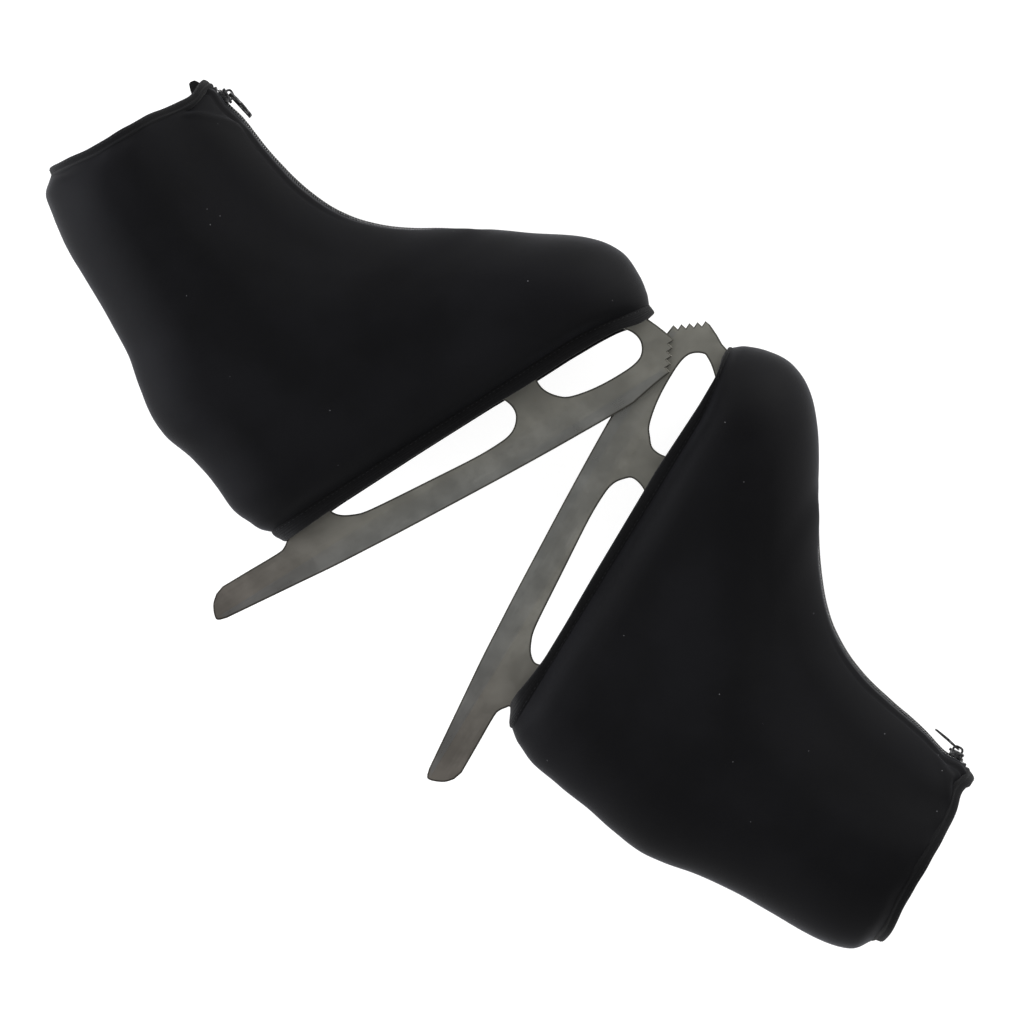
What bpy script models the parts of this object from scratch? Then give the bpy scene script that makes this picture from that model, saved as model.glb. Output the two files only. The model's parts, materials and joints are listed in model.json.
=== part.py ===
"""A pair of figure skates in zipped neoprene boot covers, lying on their inner sides, the blades crossed.

Each skate is built in its own frame, in millimetres: x runs from heel to toe, z runs up the leg, and the
side coordinate q is positive on the outer side of the foot. The cover's bottom hem lies along z = 0.
The right skate faces up with q along -y and the left skate with q along +y, so the two are a mirrored pair.
Run with: blender --background --python part.py
"""

import math

import bmesh
import bpy
import numpy as np
from mathutils import Matrix, Vector

MM = 0.001

# ---- driving dimensions, in millimetres and degrees ----
PANEL = 2.5              # neoprene thickness
GAP = 0.4                # clearance kept between neighbouring pieces
ARC_X, ARC_Z = 241.8, 208.5   # centre of the arc that the right skate's zip follows over shin and instep
ARC_R = 137.2
ZIP_TOP = 172.9          # angles on that arc, counted from +x towards +z
ZIP_BOTTOM = 245.4
SLIDER_REST = 176.1
SLOT = 4.6               # half the width of the slot between the panels that the zip lies in
COIL_IN, COIL_OUT = 0.5, 2.6  # each coil's side limits
COIL_TOP, COIL_BASE = 0.5, 2.5   # depth of the coil below the arc
TAPE_TOP, TAPE_BASE = 3.3, 3.9   # depth of the tape below the cover's surface
BLADE_THICK = 4.0
PLATE = 3.0              # thickness of the blade's two mounting plates
SOLE_AT_HEEL = 22.0      # height of the boot's sole where x = 0
SOLE_DROP = 0.045        # the sole falls this much per millimetre towards the toe
HEEL_RISE = 25.5         # the heel block lifts the boot's sole this much
SOLE_THICK = 5.0
BOOT_DEPTH = 5.6         # the boot's leather lies this far under the cover's surface
LEATHER = 3.0
THROAT_HALF = 12.0       # half the gap that the boot's tongue closes
ROLL_DEG = 0.9           # how far each skate rolls on the floor, which parts the crossed blades
ROLL_AXIS_Z = 110.0

SEAM = GAP / 2           # the two panels of a cover stop this far short of the middle plane
HEM_DEEP = 3.2           # thickness of the sole hem, and
HEM_DEEP_TOE = 2.0       # where it passes in front of the blade
HEM_LEVELS = (-0.5, -7.0)     # its upper and lower edge, from the panels' lower edge
HEM_PROUD = 0.5          # the collar hem stands this far out of the panels, and
HEM_INSIDE = 0.8         # this far inside them
BORE, SHANK, HEAD = 2.2, 1.75, 3.6   # radii of a screw's hole, shank and head
ROUND = 12               # sides of a turned piece
WELD = 0.001             # points closer than this are one point


def arc_point(angle, depth=0.0):
    """(x, z) on the zip's arc, or a depth under it, inside the cover."""
    a = math.radians(angle)
    return ARC_X + (ARC_R + depth) * math.cos(a), ARC_Z + (ARC_R + depth) * math.sin(a)


# Loft stations of the cover, from the sole opening up to the collar: back point, front point, half-widths
# near the back, in the middle and near the front, and the lengths over which the two ends round off.
STATIONS = (
    ((2, 6), (236.5, 0.7), (19, 16, 28), (22, 34)),
    ((-6.5, 14), (240.5, 7), (29, 26, 40), (30, 42)),
    ((-12.5, 25), (242.8, 17), (33, 31.5, 45.5), (34, 46)),
    ((-15, 42), (240.5, 33), (35, 34, 46.5), (36, 48)),
    ((-18.5, 62), (229, 50), (36, 37, 43), (38, 50)),
    ((-22.7, 82), (207, 67), (36, 39, 38), (38, 54)),
    ((-23.6, 98), arc_point(246), (36, 40, 34), (38, 58)),
    ((-21.5, 112), arc_point(231.5), (36, 40, 32), (38, 60)),
    ((-18, 128), arc_point(217.5), (36.5, 40, 31), (38, 56)),
    ((-16, 150), arc_point(203.5), (38, 41.5, 32), (38, 52)),
    ((-15, 177), arc_point(191), (40, 43.5, 34), (38, 48)),
    ((-14, 203), arc_point(181), (41, 44.5, 34), (38, 46)),
    ((-8, 223), arc_point(175), (40, 43.5, 32), (38, 44)),
    ((2, 231), (102, 226.6), (37.5, 41.5, 30), (36, 42)),
    ((5, 236.5), (98, 232), (36.5, 40.5, 29), (36, 42)),
)
TOE_DIP = 6.0            # the sole opening's edge stays level and then drops this much at the toe
STATION_ROWS = np.array([[*b, *f, *w, *r] for b, f, w, r in STATIONS], float)
COLLAR = 12.9            # station numbers: the panels end and the collar hem begins,
COLLAR_TOP = 14.0        # the collar ends,
THROAT = 5.9             # the zip's slot and the boot's throat begin,
BOOT_TOP = 12.8          # and the boot's leather ends

SKATES = {
    # side sign, heading of the toe in degrees, heel corner of the hem in the pair's frame, height of the
    # middle, slope by which the blade rises towards the toe, and how far the soft cover's back, its sole
    # hem at the toe and, at stations 0 to 4 and above, its front stand forward of the loft's
    "right": dict(hand=-1, heading=32.3, heel=(-125.27, -14.99), height=42.6, rise=0.0,
                  back=1.2, hem_toe=-1.0, front=(1.0, 0.3, 0, 0, 0)),
    "left": dict(hand=1, heading=58.7, heel=(-1.59, -110.33), height=41.9, rise=0.015,
                 back=-0.8, hem_toe=1.2, front=(-1.5, -0.5, 0.8, 2.8, 4.6)),
}

MATERIALS = {
    "neoprene": ((0.012, 0.012, 0.014), 0.75, 0.0),
    "hem_fabric": ((0.016, 0.016, 0.018), 0.85, 0.0),
    "zip_tape": ((0.010, 0.010, 0.011), 0.8, 0.0),
    "zip_coil": ((0.015, 0.015, 0.016), 0.4, 0.0),
    "zip_metal": ((0.15, 0.15, 0.155), 0.36, 1.0),
    "blade_steel": ((0.30, 0.295, 0.26), 0.42, 1.0),
    "plate_steel": ((0.33, 0.33, 0.31), 0.40, 1.0),
    "boot_leather": ((0.016, 0.016, 0.017), 0.45, 0.0),
    "boot_sole": ((0.055, 0.040, 0.032), 0.5, 0.0),
    "insole_foam": ((0.10, 0.11, 0.13), 0.9, 0.0),
}


# ---- scene set-up ----
def clear_scene():
    for obj in list(bpy.data.objects):
        bpy.data.objects.remove(obj, do_unlink=True)


def new_collection(name):
    collection = bpy.data.collections.new(name)
    bpy.context.scene.collection.children.link(collection)
    return collection


def make_materials():
    for name, (colour, roughness, metallic) in MATERIALS.items():
        material = bpy.data.materials.new(name)
        material.use_nodes = True
        shader = material.node_tree.nodes["Principled BSDF"]
        shader.inputs["Base Color"].default_value = (*colour, 1)
        shader.inputs["Roughness"].default_value = roughness
        shader.inputs["Metallic"].default_value = metallic
        material.diffuse_color = (*colour, 1)


class Skate:
    """One skate: its empty, its side sign and the floor it lies on."""

    def __init__(self, name, hand, heading, heel, height, rise, back, hem_toe, front):
        self.name = name
        self.hand = hand
        self.height = height
        self.rise = rise
        self.hem_toe = hem_toe
        self.arc_shift = front[-1]
        self.rows = STATION_ROWS.copy()
        self.rows[:, 0] += back * np.interp(range(len(STATIONS)), (0, 3), (0, 1))
        self.rows[:, 2] += np.interp(range(len(STATIONS)), range(len(front)), front)
        self.roll = math.radians(ROLL_DEG)
        self.frame = bpy.data.objects.new(name + "_skate_frame", None)
        PARTS.objects.link(self.frame)
        self.frame.matrix_world = self.placement(math.radians(heading), heel)

    def placement(self, heading, heel):
        """The skate's frame on the floor: the toe along the heading, the leg beside it, rolled a little."""
        toe = Vector((math.cos(heading), math.sin(heading), 0))
        leg = Vector((self.hand * toe.y, -self.hand * toe.x, 0))
        up = Vector((0, 0, self.hand))
        side = up * math.cos(self.roll) - leg * math.sin(self.roll)
        shaft = leg * math.cos(self.roll) + up * math.sin(self.roll)
        turn = Matrix((toe, side, shaft)).transposed().to_4x4()
        lift = self.height - self.hand * ROLL_AXIS_Z * math.sin(self.roll)
        return Matrix.Translation((heel[0] * MM, heel[1] * MM, lift * MM)) @ turn

    def floor(self, z):
        """The lowest side coordinate q that a point at height z may have without entering the floor."""
        return -(self.height + self.hand * (z - ROLL_AXIS_Z) * math.sin(self.roll)) / math.cos(self.roll)

    def local(self, x, q, z):
        return Vector((x * MM, self.hand * q * MM, z * MM))

    def arc(self, angle, depth=0.0):
        """(x, z) on this skate's own zip arc."""
        x, z = arc_point(angle, depth)
        return x + self.arc_shift, z


# ---- mesh helpers ----
def add_object(skate, name, mesh, material, parent=None):
    mesh.shade_smooth()
    mesh.set_sharp_from_angle(angle=math.radians(35))
    mesh.materials.append(bpy.data.materials[material])
    obj = bpy.data.objects.new(f"{skate.name}_{name}", mesh)
    PARTS.objects.link(obj)
    obj.parent = parent or skate.frame
    return obj


def as_cutter(obj):
    """Moves an object that only cuts or joins another out of the parts."""
    PARTS.objects.unlink(obj)
    CUTTERS.objects.link(obj)
    obj.hide_render = True
    obj.display_type = "WIRE"
    return obj


def loft_object(skate, name, material, points, faces):
    """A mesh from (x, q, z) points, with its faces made to point outwards."""
    mesh = bpy.data.meshes.new(name)
    mesh.from_pydata([skate.local(*p) for p in points], [], faces)
    close_up(mesh)
    return add_object(skate, name, mesh, material)


def close_up(mesh):
    """Welds points that coincide and turns all faces outwards."""
    solid = bmesh.new()
    solid.from_mesh(mesh)
    bmesh.ops.remove_doubles(solid, verts=solid.verts, dist=WELD * MM)
    bmesh.ops.recalc_face_normals(solid, faces=solid.faces)
    solid.to_mesh(mesh)
    solid.free()


def plain_mesh(data, modify=None):
    """The mesh that a curve, or a mesh with one modifier, evaluates to."""
    guide = bpy.data.objects.new("guide", data)
    CUTTERS.objects.link(guide)
    if modify:
        modify(guide)
    bpy.context.view_layer.update()
    graph = bpy.context.evaluated_depsgraph_get()
    mesh = bpy.data.meshes.new_from_object(guide.evaluated_get(graph))
    bpy.data.objects.remove(guide, do_unlink=True)
    close_up(mesh)
    return mesh


def thick_outline(outline, low, high, place):
    """A flat (x, y) outline made thick from z = low to z = high, and then placed by a matrix."""
    curve = bpy.data.curves.new("outline", "CURVE")
    curve.dimensions = "2D"
    curve.fill_mode = "BOTH"
    curve.extrude = (high - low) / 2 * MM
    line = curve.splines.new("POLY")
    line.points.add(len(outline) - 1)
    for point, (x, y) in zip(line.points, outline):
        point.co = (x * MM, y * MM, 0, 1)
    line.use_cyclic_u = True
    mesh = plain_mesh(curve)
    mesh.transform(place @ Matrix.Translation((0, 0, (low + high) / 2 * MM)))
    return mesh


def upright(skate):
    """Turns (x, y, z) of a flat outline into x, the height z and the side coordinate q."""
    turn = Matrix.Rotation(math.radians(90), 4, "X")
    return turn @ Matrix.Diagonal((1, 1, -skate.hand, 1))


def sheet_object(skate, name, material, outer, inner, loop=False):
    """A closed sheet between two grids of points, each a list of rows; a looped grid closes on itself."""
    rows, cols = len(outer), len(outer[0])
    points = [p for row in outer for p in row] + [p for row in inner for p in row]
    half = rows * cols
    across = [(j, (j + 1) % cols) for j in range(cols if loop else cols - 1)]
    faces = []
    for i in range(rows - 1):
        for j, k in across:
            quad = (i * cols + j, i * cols + k, (i + 1) * cols + k, (i + 1) * cols + j)
            faces.append(quad)
            faces.append(tuple(half + v for v in reversed(quad)))
    for i in (0, rows - 1):
        faces += [(i * cols + j, i * cols + k, half + i * cols + k, half + i * cols + j) for j, k in across]
    if not loop:
        for j in (0, cols - 1):
            for i in range(rows - 1):
                a, b = i * cols + j, (i + 1) * cols + j
                faces.append((a, b, half + b, half + a))
    return loft_object(skate, name, material, points, faces)


def arc_bar(skate, name, material, angles, sides, depths, steps):
    """A bar of rectangular section that follows the zip's arc between two angles."""
    run = np.linspace(*angles, steps + 1)
    outline = [skate.arc(angle, depths[0]) for angle in run]
    outline += [skate.arc(angle, depths[1]) for angle in reversed(run)]
    mesh = thick_outline(outline, min(sides), max(sides), upright(skate))
    close_up(mesh)
    return add_object(skate, name, mesh, material)


def combine(target, others, operation="UNION"):
    """Unions the others with target, or cuts them from it, and removes them."""
    for other in others:
        modifier = target.modifiers.new(operation.lower(), "BOOLEAN")
        modifier.solver = "EXACT"
        modifier.operation = operation
        modifier.object = other
    bpy.context.view_layer.update()
    graph = bpy.context.evaluated_depsgraph_get()
    baked = bpy.data.meshes.new_from_object(target.evaluated_get(graph))
    target.modifiers.clear()
    target.data = baked
    for other in others:
        bpy.data.objects.remove(other, do_unlink=True)


def solid_object(skate, name, material, rings):
    """A closed solid through loops of equal length, each out along one side and back along the other."""
    count = len(rings[0])
    points = [p for ring in rings for p in ring]
    faces = []
    for i in range(len(rings) - 1):
        for j in range(count):
            k = (j + 1) % count
            faces.append((i * count + j, i * count + k, (i + 1) * count + k, (i + 1) * count + j))
    for base in (0, (len(rings) - 1) * count):
        for j in range(count // 2 - 1):
            faces.append((base + j, base + j + 1, base + count - 2 - j, base + count - 1 - j))
    return loft_object(skate, name, material, points, faces)


# ---- the cover's surface ----
def station(rows, s):
    """The loft's numbers at station s: a Catmull-Rom curve through the rows."""
    i = min(int(s), len(rows) - 2)
    f = s - i
    p1, p2 = rows[i], rows[i + 1]
    p0 = rows[i - 1] if i else 2 * p1 - p2
    p3 = rows[i + 2] if i + 2 < len(rows) else 2 * p2 - p1
    return 0.5 * (2 * p1 + (p2 - p0) * f + (2 * p0 - 5 * p1 + 4 * p2 - p3) * f**2
                  + (3 * p1 - p0 - 3 * p2 + p3) * f**3)


def smooth(t, low, high):
    t = np.clip((t - low) / (high - low), 0, 1)
    return t * t * (3 - 2 * t)


def half_widths(t, length, widths, rounds):
    """The section's half-widths at shares t of its length from the back."""
    back, middle, front = widths
    body = back + (middle - back) * smooth(t, 0.12, 0.45) + (front - middle) * smooth(t, 0.45, 0.8)
    for reach, run in ((t * length, rounds[0]), ((1 - t) * length, rounds[1])):
        body = body * np.sqrt(np.clip(1 - (1 - np.minimum(reach / run, 1)) ** 2, 0, 1))
    return body


def half_ring(skate, s, count, q_back=0.0, q_front=0.0):
    """count points (x, q, z) from back to front along the outer side of section s, evenly spaced.
    The ends are where q reaches q_back and q_front."""
    row = station(skate.rows, s)
    back, front = row[0:2], row[2:4]
    t = (1 - np.cos(np.linspace(0, math.pi, 401))) / 2
    line = back + (front - back) * t[:, None]
    line[:, 1] += TOE_DIP * max(0.0, 1 - s / 3) * t * (1 - smooth(t, 0.8, 1))
    widths = half_widths(t, np.linalg.norm(front - back), row[4:7], row[7:9])
    fine = np.stack([line[:, 0], widths, line[:, 1]], axis=1)
    half = len(fine) // 2
    first = int(np.argmax(fine[:half, 1] >= q_back))
    last = len(fine) - 1 - int(np.argmax(fine[half:, 1][::-1] >= q_front))
    fine = fine[first:last + 1]
    run = np.concatenate([[0], np.cumsum(np.linalg.norm(np.diff(fine, axis=0), axis=1))])
    even = np.linspace(0, run[-1], count)
    points = np.stack([np.interp(even, run, fine[:, k]) for k in range(3)], axis=1)
    points[[0, -1], 1] = q_back, q_front
    return points


def side_grid(skate, stations, count, outer_side, depth=0.0, q_back=0.0, q_front=lambda s: 0.0):
    """The cover's surface on one side, moved in by depth along its normals. Each row is a station, or a
    list with a station for every column, and q_front gives the front edge there. The side on the floor
    is flattened."""
    grid = []
    for row in stations:
        if np.ndim(row):
            grid.append([half_ring(skate, s, count, q_back, q_front(s))[j] for j, s in enumerate(row)])
        else:
            grid.append(half_ring(skate, row, count, q_back, q_front(row)))
    grid = np.array(grid)
    ends = grid[:, [0, -1], 1].copy()
    normal = np.cross(np.gradient(grid, axis=0), np.gradient(grid, axis=1))
    middle = normal[:, [0, -1]]
    middle[..., 1][ends < 1] = 0
    normal[:, [0, -1]] = middle
    normal /= np.linalg.norm(normal, axis=2, keepdims=True)
    grid = grid - normal * depth
    grid[:, [0, -1], 1] = ends
    if outer_side:
        return grid
    grid[..., 1] *= -1
    for row in grid:
        for point in row:
            point[1] = max(point[1], skate.floor(point[2]) + max(depth, 0))
    return grid


def slot_edge(s):
    """Where a panel's front edge lies: beside the zip's slot above the instep, at a sewn seam below it."""
    return SLOT if s > THROAT else SEAM


def no_gap(s):
    return 0.0


# ---- the cover ----
def build_cover(skate):
    stations = [0, 0.6, 1.2, 2, 2.7, 3.4, 4.2, 5, THROAT, 6.0, 6.6, 7.3, 8, 9, 10, 11, 12, 12.5, COLLAR]
    for side, outer_side in (("outer", True), ("inner", False)):
        outside = side_grid(skate, stations, 19, outer_side, 0, SEAM, slot_edge)
        inside = side_grid(skate, stations, 19, outer_side, PANEL, SEAM, slot_edge)
        sheet_object(skate, f"cover_{side}_panel", "neoprene", outside, inside)
    build_collar_hem(skate)
    build_sole_hem(skate)


def wrap(skate, stations, count, depth, q_front=no_gap, keep=slice(None), over_front=False):
    """A grid across both sides, joined at the back or, over the front, at the front. keep picks columns."""
    outer = side_grid(skate, stations, count, True, depth, 0, q_front)[:, keep]
    inner = side_grid(skate, stations, count, False, depth, 0, q_front)[:, keep]
    if over_front:
        return np.concatenate([outer, inner[:, ::-1][:, 1:]], axis=1)
    return np.concatenate([outer[:, ::-1], inner[:, 1:]], axis=1)


def build_collar_hem(skate):
    """The folded band sewn along the top edge, open at the front where the zip ends."""
    stations = [COLLAR + 0.09, 13.5, COLLAR_TOP]
    outside = wrap(skate, stations, 18, -HEM_PROUD, lambda s: SLOT)
    inside = wrap(skate, stations, 18, PANEL + HEM_INSIDE, lambda s: SLOT)
    sheet_object(skate, "collar_hem", "hem_fabric", outside, inside)


def build_sole_hem(skate):
    """The folded band round the opening that the blade comes out of."""
    top = half_ring(skate, 0, 26)
    loop = np.concatenate([top, (top[1:-1] * (1, -1, 1))[::-1]])
    along = np.roll(loop, -1, axis=0) - np.roll(loop, 1, axis=0)
    inward = np.stack([along[:, 1], -along[:, 0], 0 * along[:, 0]], axis=1)
    inward /= np.linalg.norm(inward, axis=1, keepdims=True)
    toe = smooth(loop[:, 0], 218, 234)
    loop[:, 0] += skate.hem_toe * toe
    deep = HEM_DEEP + (HEM_DEEP_TOE - HEM_DEEP) * toe
    outer = [loop + (0, 0, level) for level in HEM_LEVELS]
    inner = [loop + deep[:, None] * inward + (0, 0, level) for level in HEM_LEVELS]
    sheet_object(skate, "sole_hem", "hem_fabric", outer, inner, loop=True)


# ---- the zip ----
TAPE_STATIONS = (6.05, 6.5, 7, 7.5, 8, 8.6, 9.3, 10, 11, 12, 12.6)
TAPE_COLUMNS = (-1, -3, -7)  # of 90 columns, the ones that run beside the slot
STOP_HALF = 2.9
STOP_DEPTHS = (0.2, 2.6)     # depths under the arc
SLIDER_LONG = 9.0
SLIDER_HALF = 3.9
TOP_PLATE = (-1.6, -0.1)
BOTTOM_PLATE = (5.6, 6.5)
PULL_PIVOT = -2.7            # the pull's cross-bar, above the arc
PULL_LONG = 16.5
PULL_HALF = 2.9
PULL_THICK = 1.0
PULL_LIFT = 14.0             # degrees that the pull stands off the zip at rest


def build_zip(skate):
    for side, outer_side in (("outer", True), ("inner", False)):
        sign = 1 if outer_side else -1
        tape = [side_grid(skate, TAPE_STATIONS, 90, outer_side, depth, 0, lambda s: COIL_IN)
                for depth in (TAPE_TOP, TAPE_BASE)]
        top, base = (grid[:, TAPE_COLUMNS] for grid in tape)
        sheet_object(skate, f"zip_tape_{side}", "zip_tape", top, base)
        arc_bar(skate, f"zip_coil_{side}", "zip_coil", (ZIP_TOP + 1.3, ZIP_BOTTOM - 1.3),
                (sign * COIL_IN, sign * COIL_OUT), (COIL_TOP, COIL_BASE), 36)
        arc_bar(skate, f"zip_top_stop_{side}", "zip_metal", (ZIP_TOP + 0.2, ZIP_TOP + 1.1),
                (sign * COIL_IN, sign * STOP_HALF), STOP_DEPTHS, 1)
    arc_bar(skate, "zip_bottom_stop", "zip_metal", (ZIP_BOTTOM - 1.1, ZIP_BOTTOM), (-STOP_HALF, STOP_HALF),
            STOP_DEPTHS, 1)
    build_slider(skate)


def slider_block(skate, name, along, sides, depths, hub):
    """A box in the slider's own directions: down the zip from its middle, across it, and into the cover."""
    low, high = np.transpose([depths, sides, along]) + (ARC_R, 0, 0)
    turn = Matrix.Rotation(-math.radians(SLIDER_REST), 4, "Y")
    middle = Matrix.Translation((low + high) / 2 * MM)
    size = Matrix.Diagonal((*((high - low) * MM), 1))
    mesh = bpy.data.meshes.new(name)
    solid = bmesh.new()
    bmesh.ops.create_cube(solid, size=1, matrix=turn @ middle @ size)
    solid.to_mesh(mesh)
    solid.free()
    return add_object(skate, name, mesh, "zip_metal", hub)


def build_slider(skate):
    """The slider turns about the arc's centre, and the pull turns on the slider's bridge."""
    hub = bpy.data.objects.new(skate.name + "_zip_arc_centre", None)
    PARTS.objects.link(hub)
    hub.parent = skate.frame
    hub.location = skate.local(ARC_X + skate.arc_shift, 0, ARC_Z)
    half = SLIDER_LONG / 2
    flange = (SLIDER_HALF - 0.9, SLIDER_HALF - 0.2)
    pieces = {
        "post": ((-half + 0.3, -half + 2.8), (-0.28, 0.28), (-0.8, 6.0)),
        "bottom": ((-half, half - 0.8), (-3.5, 3.5), BOTTOM_PLATE),
        "flange_a": ((-half + 1.5, half - 0.4), flange, (-0.8, 2.4)),
        "flange_b": ((-half + 1.5, half - 0.4), (-flange[1], -flange[0]), (-0.8, 2.4)),
        "leg_a": ((-3.0, -1.9), (-0.8, 0.8), (-4.1, -1.0)),
        "leg_b": ((1.9, 3.0), (-0.8, 0.8), (-4.1, -1.0)),
        "bridge": ((-3.4, 3.4), (-1.0, 1.0), (-4.6, -3.7)),
    }
    slider = slider_block(skate, "zip_slider", (-half, half), (-SLIDER_HALF, SLIDER_HALF), TOP_PLATE, hub)
    combine(slider, [as_cutter(slider_block(skate, name, *box, hub)) for name, box in pieces.items()])
    build_pull(skate, slider, hub)


def build_pull(skate, slider, hub):
    """A stamped tab: a cross-bar under the slider's bridge, a gap for it and a plate with a long hole."""
    def block(name, along, half, thick):
        depths = (PULL_PIVOT - thick / 2, PULL_PIVOT + thick / 2)
        return slider_block(skate, name, along, (-half, half), depths, hub)

    pull = block("zip_pull", (-0.5, PULL_LONG), PULL_HALF, PULL_THICK)
    through = 4 * PULL_THICK
    combine(pull, [
        as_cutter(block("bridge_gap", (0.5, 4.5), PULL_HALF / 2, through)),
        as_cutter(block("hole", (7.4, PULL_LONG - 2.1), PULL_HALF / 2, through)),
    ], "DIFFERENCE")
    a = math.radians(SLIDER_REST)
    pivot = (ARC_R + PULL_PIVOT) * MM * Vector((math.cos(a), 0, math.sin(a)))
    pull.data.transform(Matrix.Translation(-pivot))
    pull.parent = slider
    pull.location = pivot
    pull.rotation_euler = (0, math.radians(-PULL_LIFT), 0)


# ---- the boot ----
QUARTER_COLUMNS = 17
QUARTER_ROWS = 19
TONGUE = 3.2             # thickness of the tongue
TONGUE_STATIONS = (5.6, 6.2, 6.8, 7.4, 8, 8.7, 9.4, 10.2, 11, 12, 13.2)
TONGUE_COLUMNS = (-10, -8, -6, -4, -2, -1)   # of 40 columns, the ones near the front


def sole(x):
    """Height of the plane that the blade's plates are screwed to."""
    return SOLE_AT_HEEL - SOLE_DROP * x


def sole_under_boot(x):
    """Height of the boot's outsole, which the heel block lifts."""
    return sole(x) + HEEL_RISE * (1 - smooth(x, 62, 118))


def edge_stations(skate, count, rise, q_front=no_gap):
    """For each column, the station at which the surface stands rise above the boot's outsole."""
    found = []
    for j in range(count):
        low, high = 0.2, 6.0
        for _ in range(24):
            s = (low + high) / 2
            x, _, z = half_ring(skate, s, count, SEAM, q_front(s))[j]
            low, high = (s, high) if z < sole_under_boot(x) + rise else (low, s)
        found.append(low)
    return np.array(found)


def throat_edge(s):
    return SEAM + (THROAT_HALF - SEAM) * float(smooth(s, THROAT - 1.1, THROAT - 0.3))


def build_boot(skate):
    lined = BOOT_DEPTH + LEATHER
    lowest = edge_stations(skate, QUARTER_COLUMNS, SOLE_THICK + 1.6, throat_edge)
    rows = [lowest + (BOOT_TOP - lowest) * share for share in np.linspace(0, 1, QUARTER_ROWS)]
    for side, outer_side in (("outer", True), ("inner", False)):
        skins = [side_grid(skate, rows, QUARTER_COLUMNS, outer_side, depth, SEAM, throat_edge)
                 for depth in (BOOT_DEPTH, lined)]
        sheet_object(skate, f"boot_{side}_quarter", "boot_leather", skins[0], skins[1])
    tongue = [wrap(skate, TONGUE_STATIONS, 40, depth, keep=TONGUE_COLUMNS, over_front=True)
              for depth in (lined + 0.8, lined + 0.8 + TONGUE)]
    sheet_object(skate, "boot_tongue", "boot_leather", tongue[0], tongue[1])
    solid_object(skate, "boot_outsole", "boot_sole",
                 [sole_ring(skate, BOOT_DEPTH + 2.4, 0), sole_ring(skate, BOOT_DEPTH + 0.6, SOLE_THICK)])
    solid_object(skate, "boot_insole", "insole_foam",
                 [sole_ring(skate, lined + 3.6, SOLE_THICK + 1.4),
                  sole_ring(skate, lined + 3.0, SOLE_THICK + 4.8)])
    build_heel(skate)


def sole_ring(skate, depth, rise):
    """A loop round the boot's sole, a depth inside the cover and a rise above the outsole's underside."""
    count = 30
    edge = edge_stations(skate, count, max(rise, 2.0))
    rows = [edge - 0.1, edge, edge + 0.1]
    sides = [side_grid(skate, rows, count, outer, depth, 1.5, lambda s: 1.5)[1] for outer in (True, False)]
    loop = np.concatenate([sides[0], sides[1][::-1]])
    for point in loop:
        point[2] = sole_under_boot(point[0]) + rise
    return loop


def build_heel(skate):
    """The stacked heel: a block, round at the back, that tapers downwards."""
    def ring(back, front, half, height):
        outline = [(front, half * 0.9)]
        for i in range(9):
            a = math.pi / 2 * (1 - i / 9)
            outline.append((back + half * 1.1 * (1 - math.cos(a)), half * math.sin(a)))
        outline.append((back, 0.12 * half))
        outline = outline[::-1]
        loop = outline + [(x, -q) for x, q in reversed(outline)]
        return [(x, q, height(x)) for x, q in loop]

    solid_object(skate, "boot_heel", "boot_sole", [
        ring(-3.5, 56, 21.5, sole),
        ring(-6.5, 58, 24.0, lambda x: (sole(x) + sole_under_boot(0) - 0.4) / 2),
        ring(-8.0, 60, 25.5, lambda x: sole_under_boot(x) - 0.4),
    ])


# ---- the blade ----
TAIL = ((-38, -5), (-20, -5.4), (-3, -5.8), (1.5, -4.8), (4.6, -2.6), (6.0, -1.2), (6.4, 4), (5.4, 12))
HEEL_POST_FRONT = ((38, 8), (34.6, 2), (33.5, -1.5), (34.6, -4.2), (37.4, -7), (42, -9.6), (48, -11.8))
RUNNER_TOP = ((60, -13.5), (90, -16.6), (115, -19), (130, -19.3), (137, -18.4), (141.6, -16),
              (145, -12))
MIDDLE_POST_BACK = ((146, -8), (145.4, -4), (143.6, 0), (139.5, 6))
MIDDLE_POST_FRONT = ((167.5, 6), (165.4, 0), (165, -5), (166.4, -9.6), (170, -14.6), (175, -18.3))
FRONT_BAY = ((185, -21), (195, -22.3), (205, -22.7), (213, -22.4), (218.6, -20.8), (222, -17.4))
TOE_POST_BACK = ((223.5, -13), (222.6, -8), (219.4, -3), (214, 3))
TOE_POST_FRONT = ((231.0, 2), (233.0, -5.0), (235.7, -11.5), (238.5, -19.5))
PICK_TIP = (239.0, -22.8)
PICK_STEP = (-2.72, -3.38)    # from one tooth's tip to the next, and
PICK_NOTCH = (-3.4, -0.1)     # from a tip to the notch behind it
PICK_TEETH = 5
GROUND_EDGE = ((223.4, -36.8), (215, -37.9), (205, -39.5), (200, -39.9), (180, -39.1), (150, -37.7),
               (120, -35.9), (90, -33.8), (60, -31.6), (40, -29.9), (20, -28.1), (0, -25.8), (-20, -23.5),
               (-45, -20.6))
TAIL_END = ((-48.6, -19.6), (-50.3, -18.2), (-49.6, -14.6), (-47, -10), (-43, -6.6))


def blade_outline(skate):
    """The blade's outline in order, with the tops of its posts just under the plates."""
    def under(x):
        return x, sole(x) - GAP - PLATE - 0.4

    teeth = []
    for i in range(PICK_TEETH):
        tip = (PICK_TIP[0] + PICK_STEP[0] * i, PICK_TIP[1] + PICK_STEP[1] * i)
        teeth.append(tip)
        if i < PICK_TEETH - 1:
            teeth.append((tip[0] + PICK_NOTCH[0], tip[1] + PICK_NOTCH[1]))
    outline = [*TAIL, under(4), under(47), *HEEL_POST_FRONT, *RUNNER_TOP, *MIDDLE_POST_BACK, under(134),
               under(173), *MIDDLE_POST_FRONT, *FRONT_BAY, *TOE_POST_BACK, under(206), under(230.5),
               *TOE_POST_FRONT, *teeth, *GROUND_EDGE, *TAIL_END]
    return [(x, z + skate.rise * x * float(smooth(-z, 7, 16))) for x, z in outline]


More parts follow.
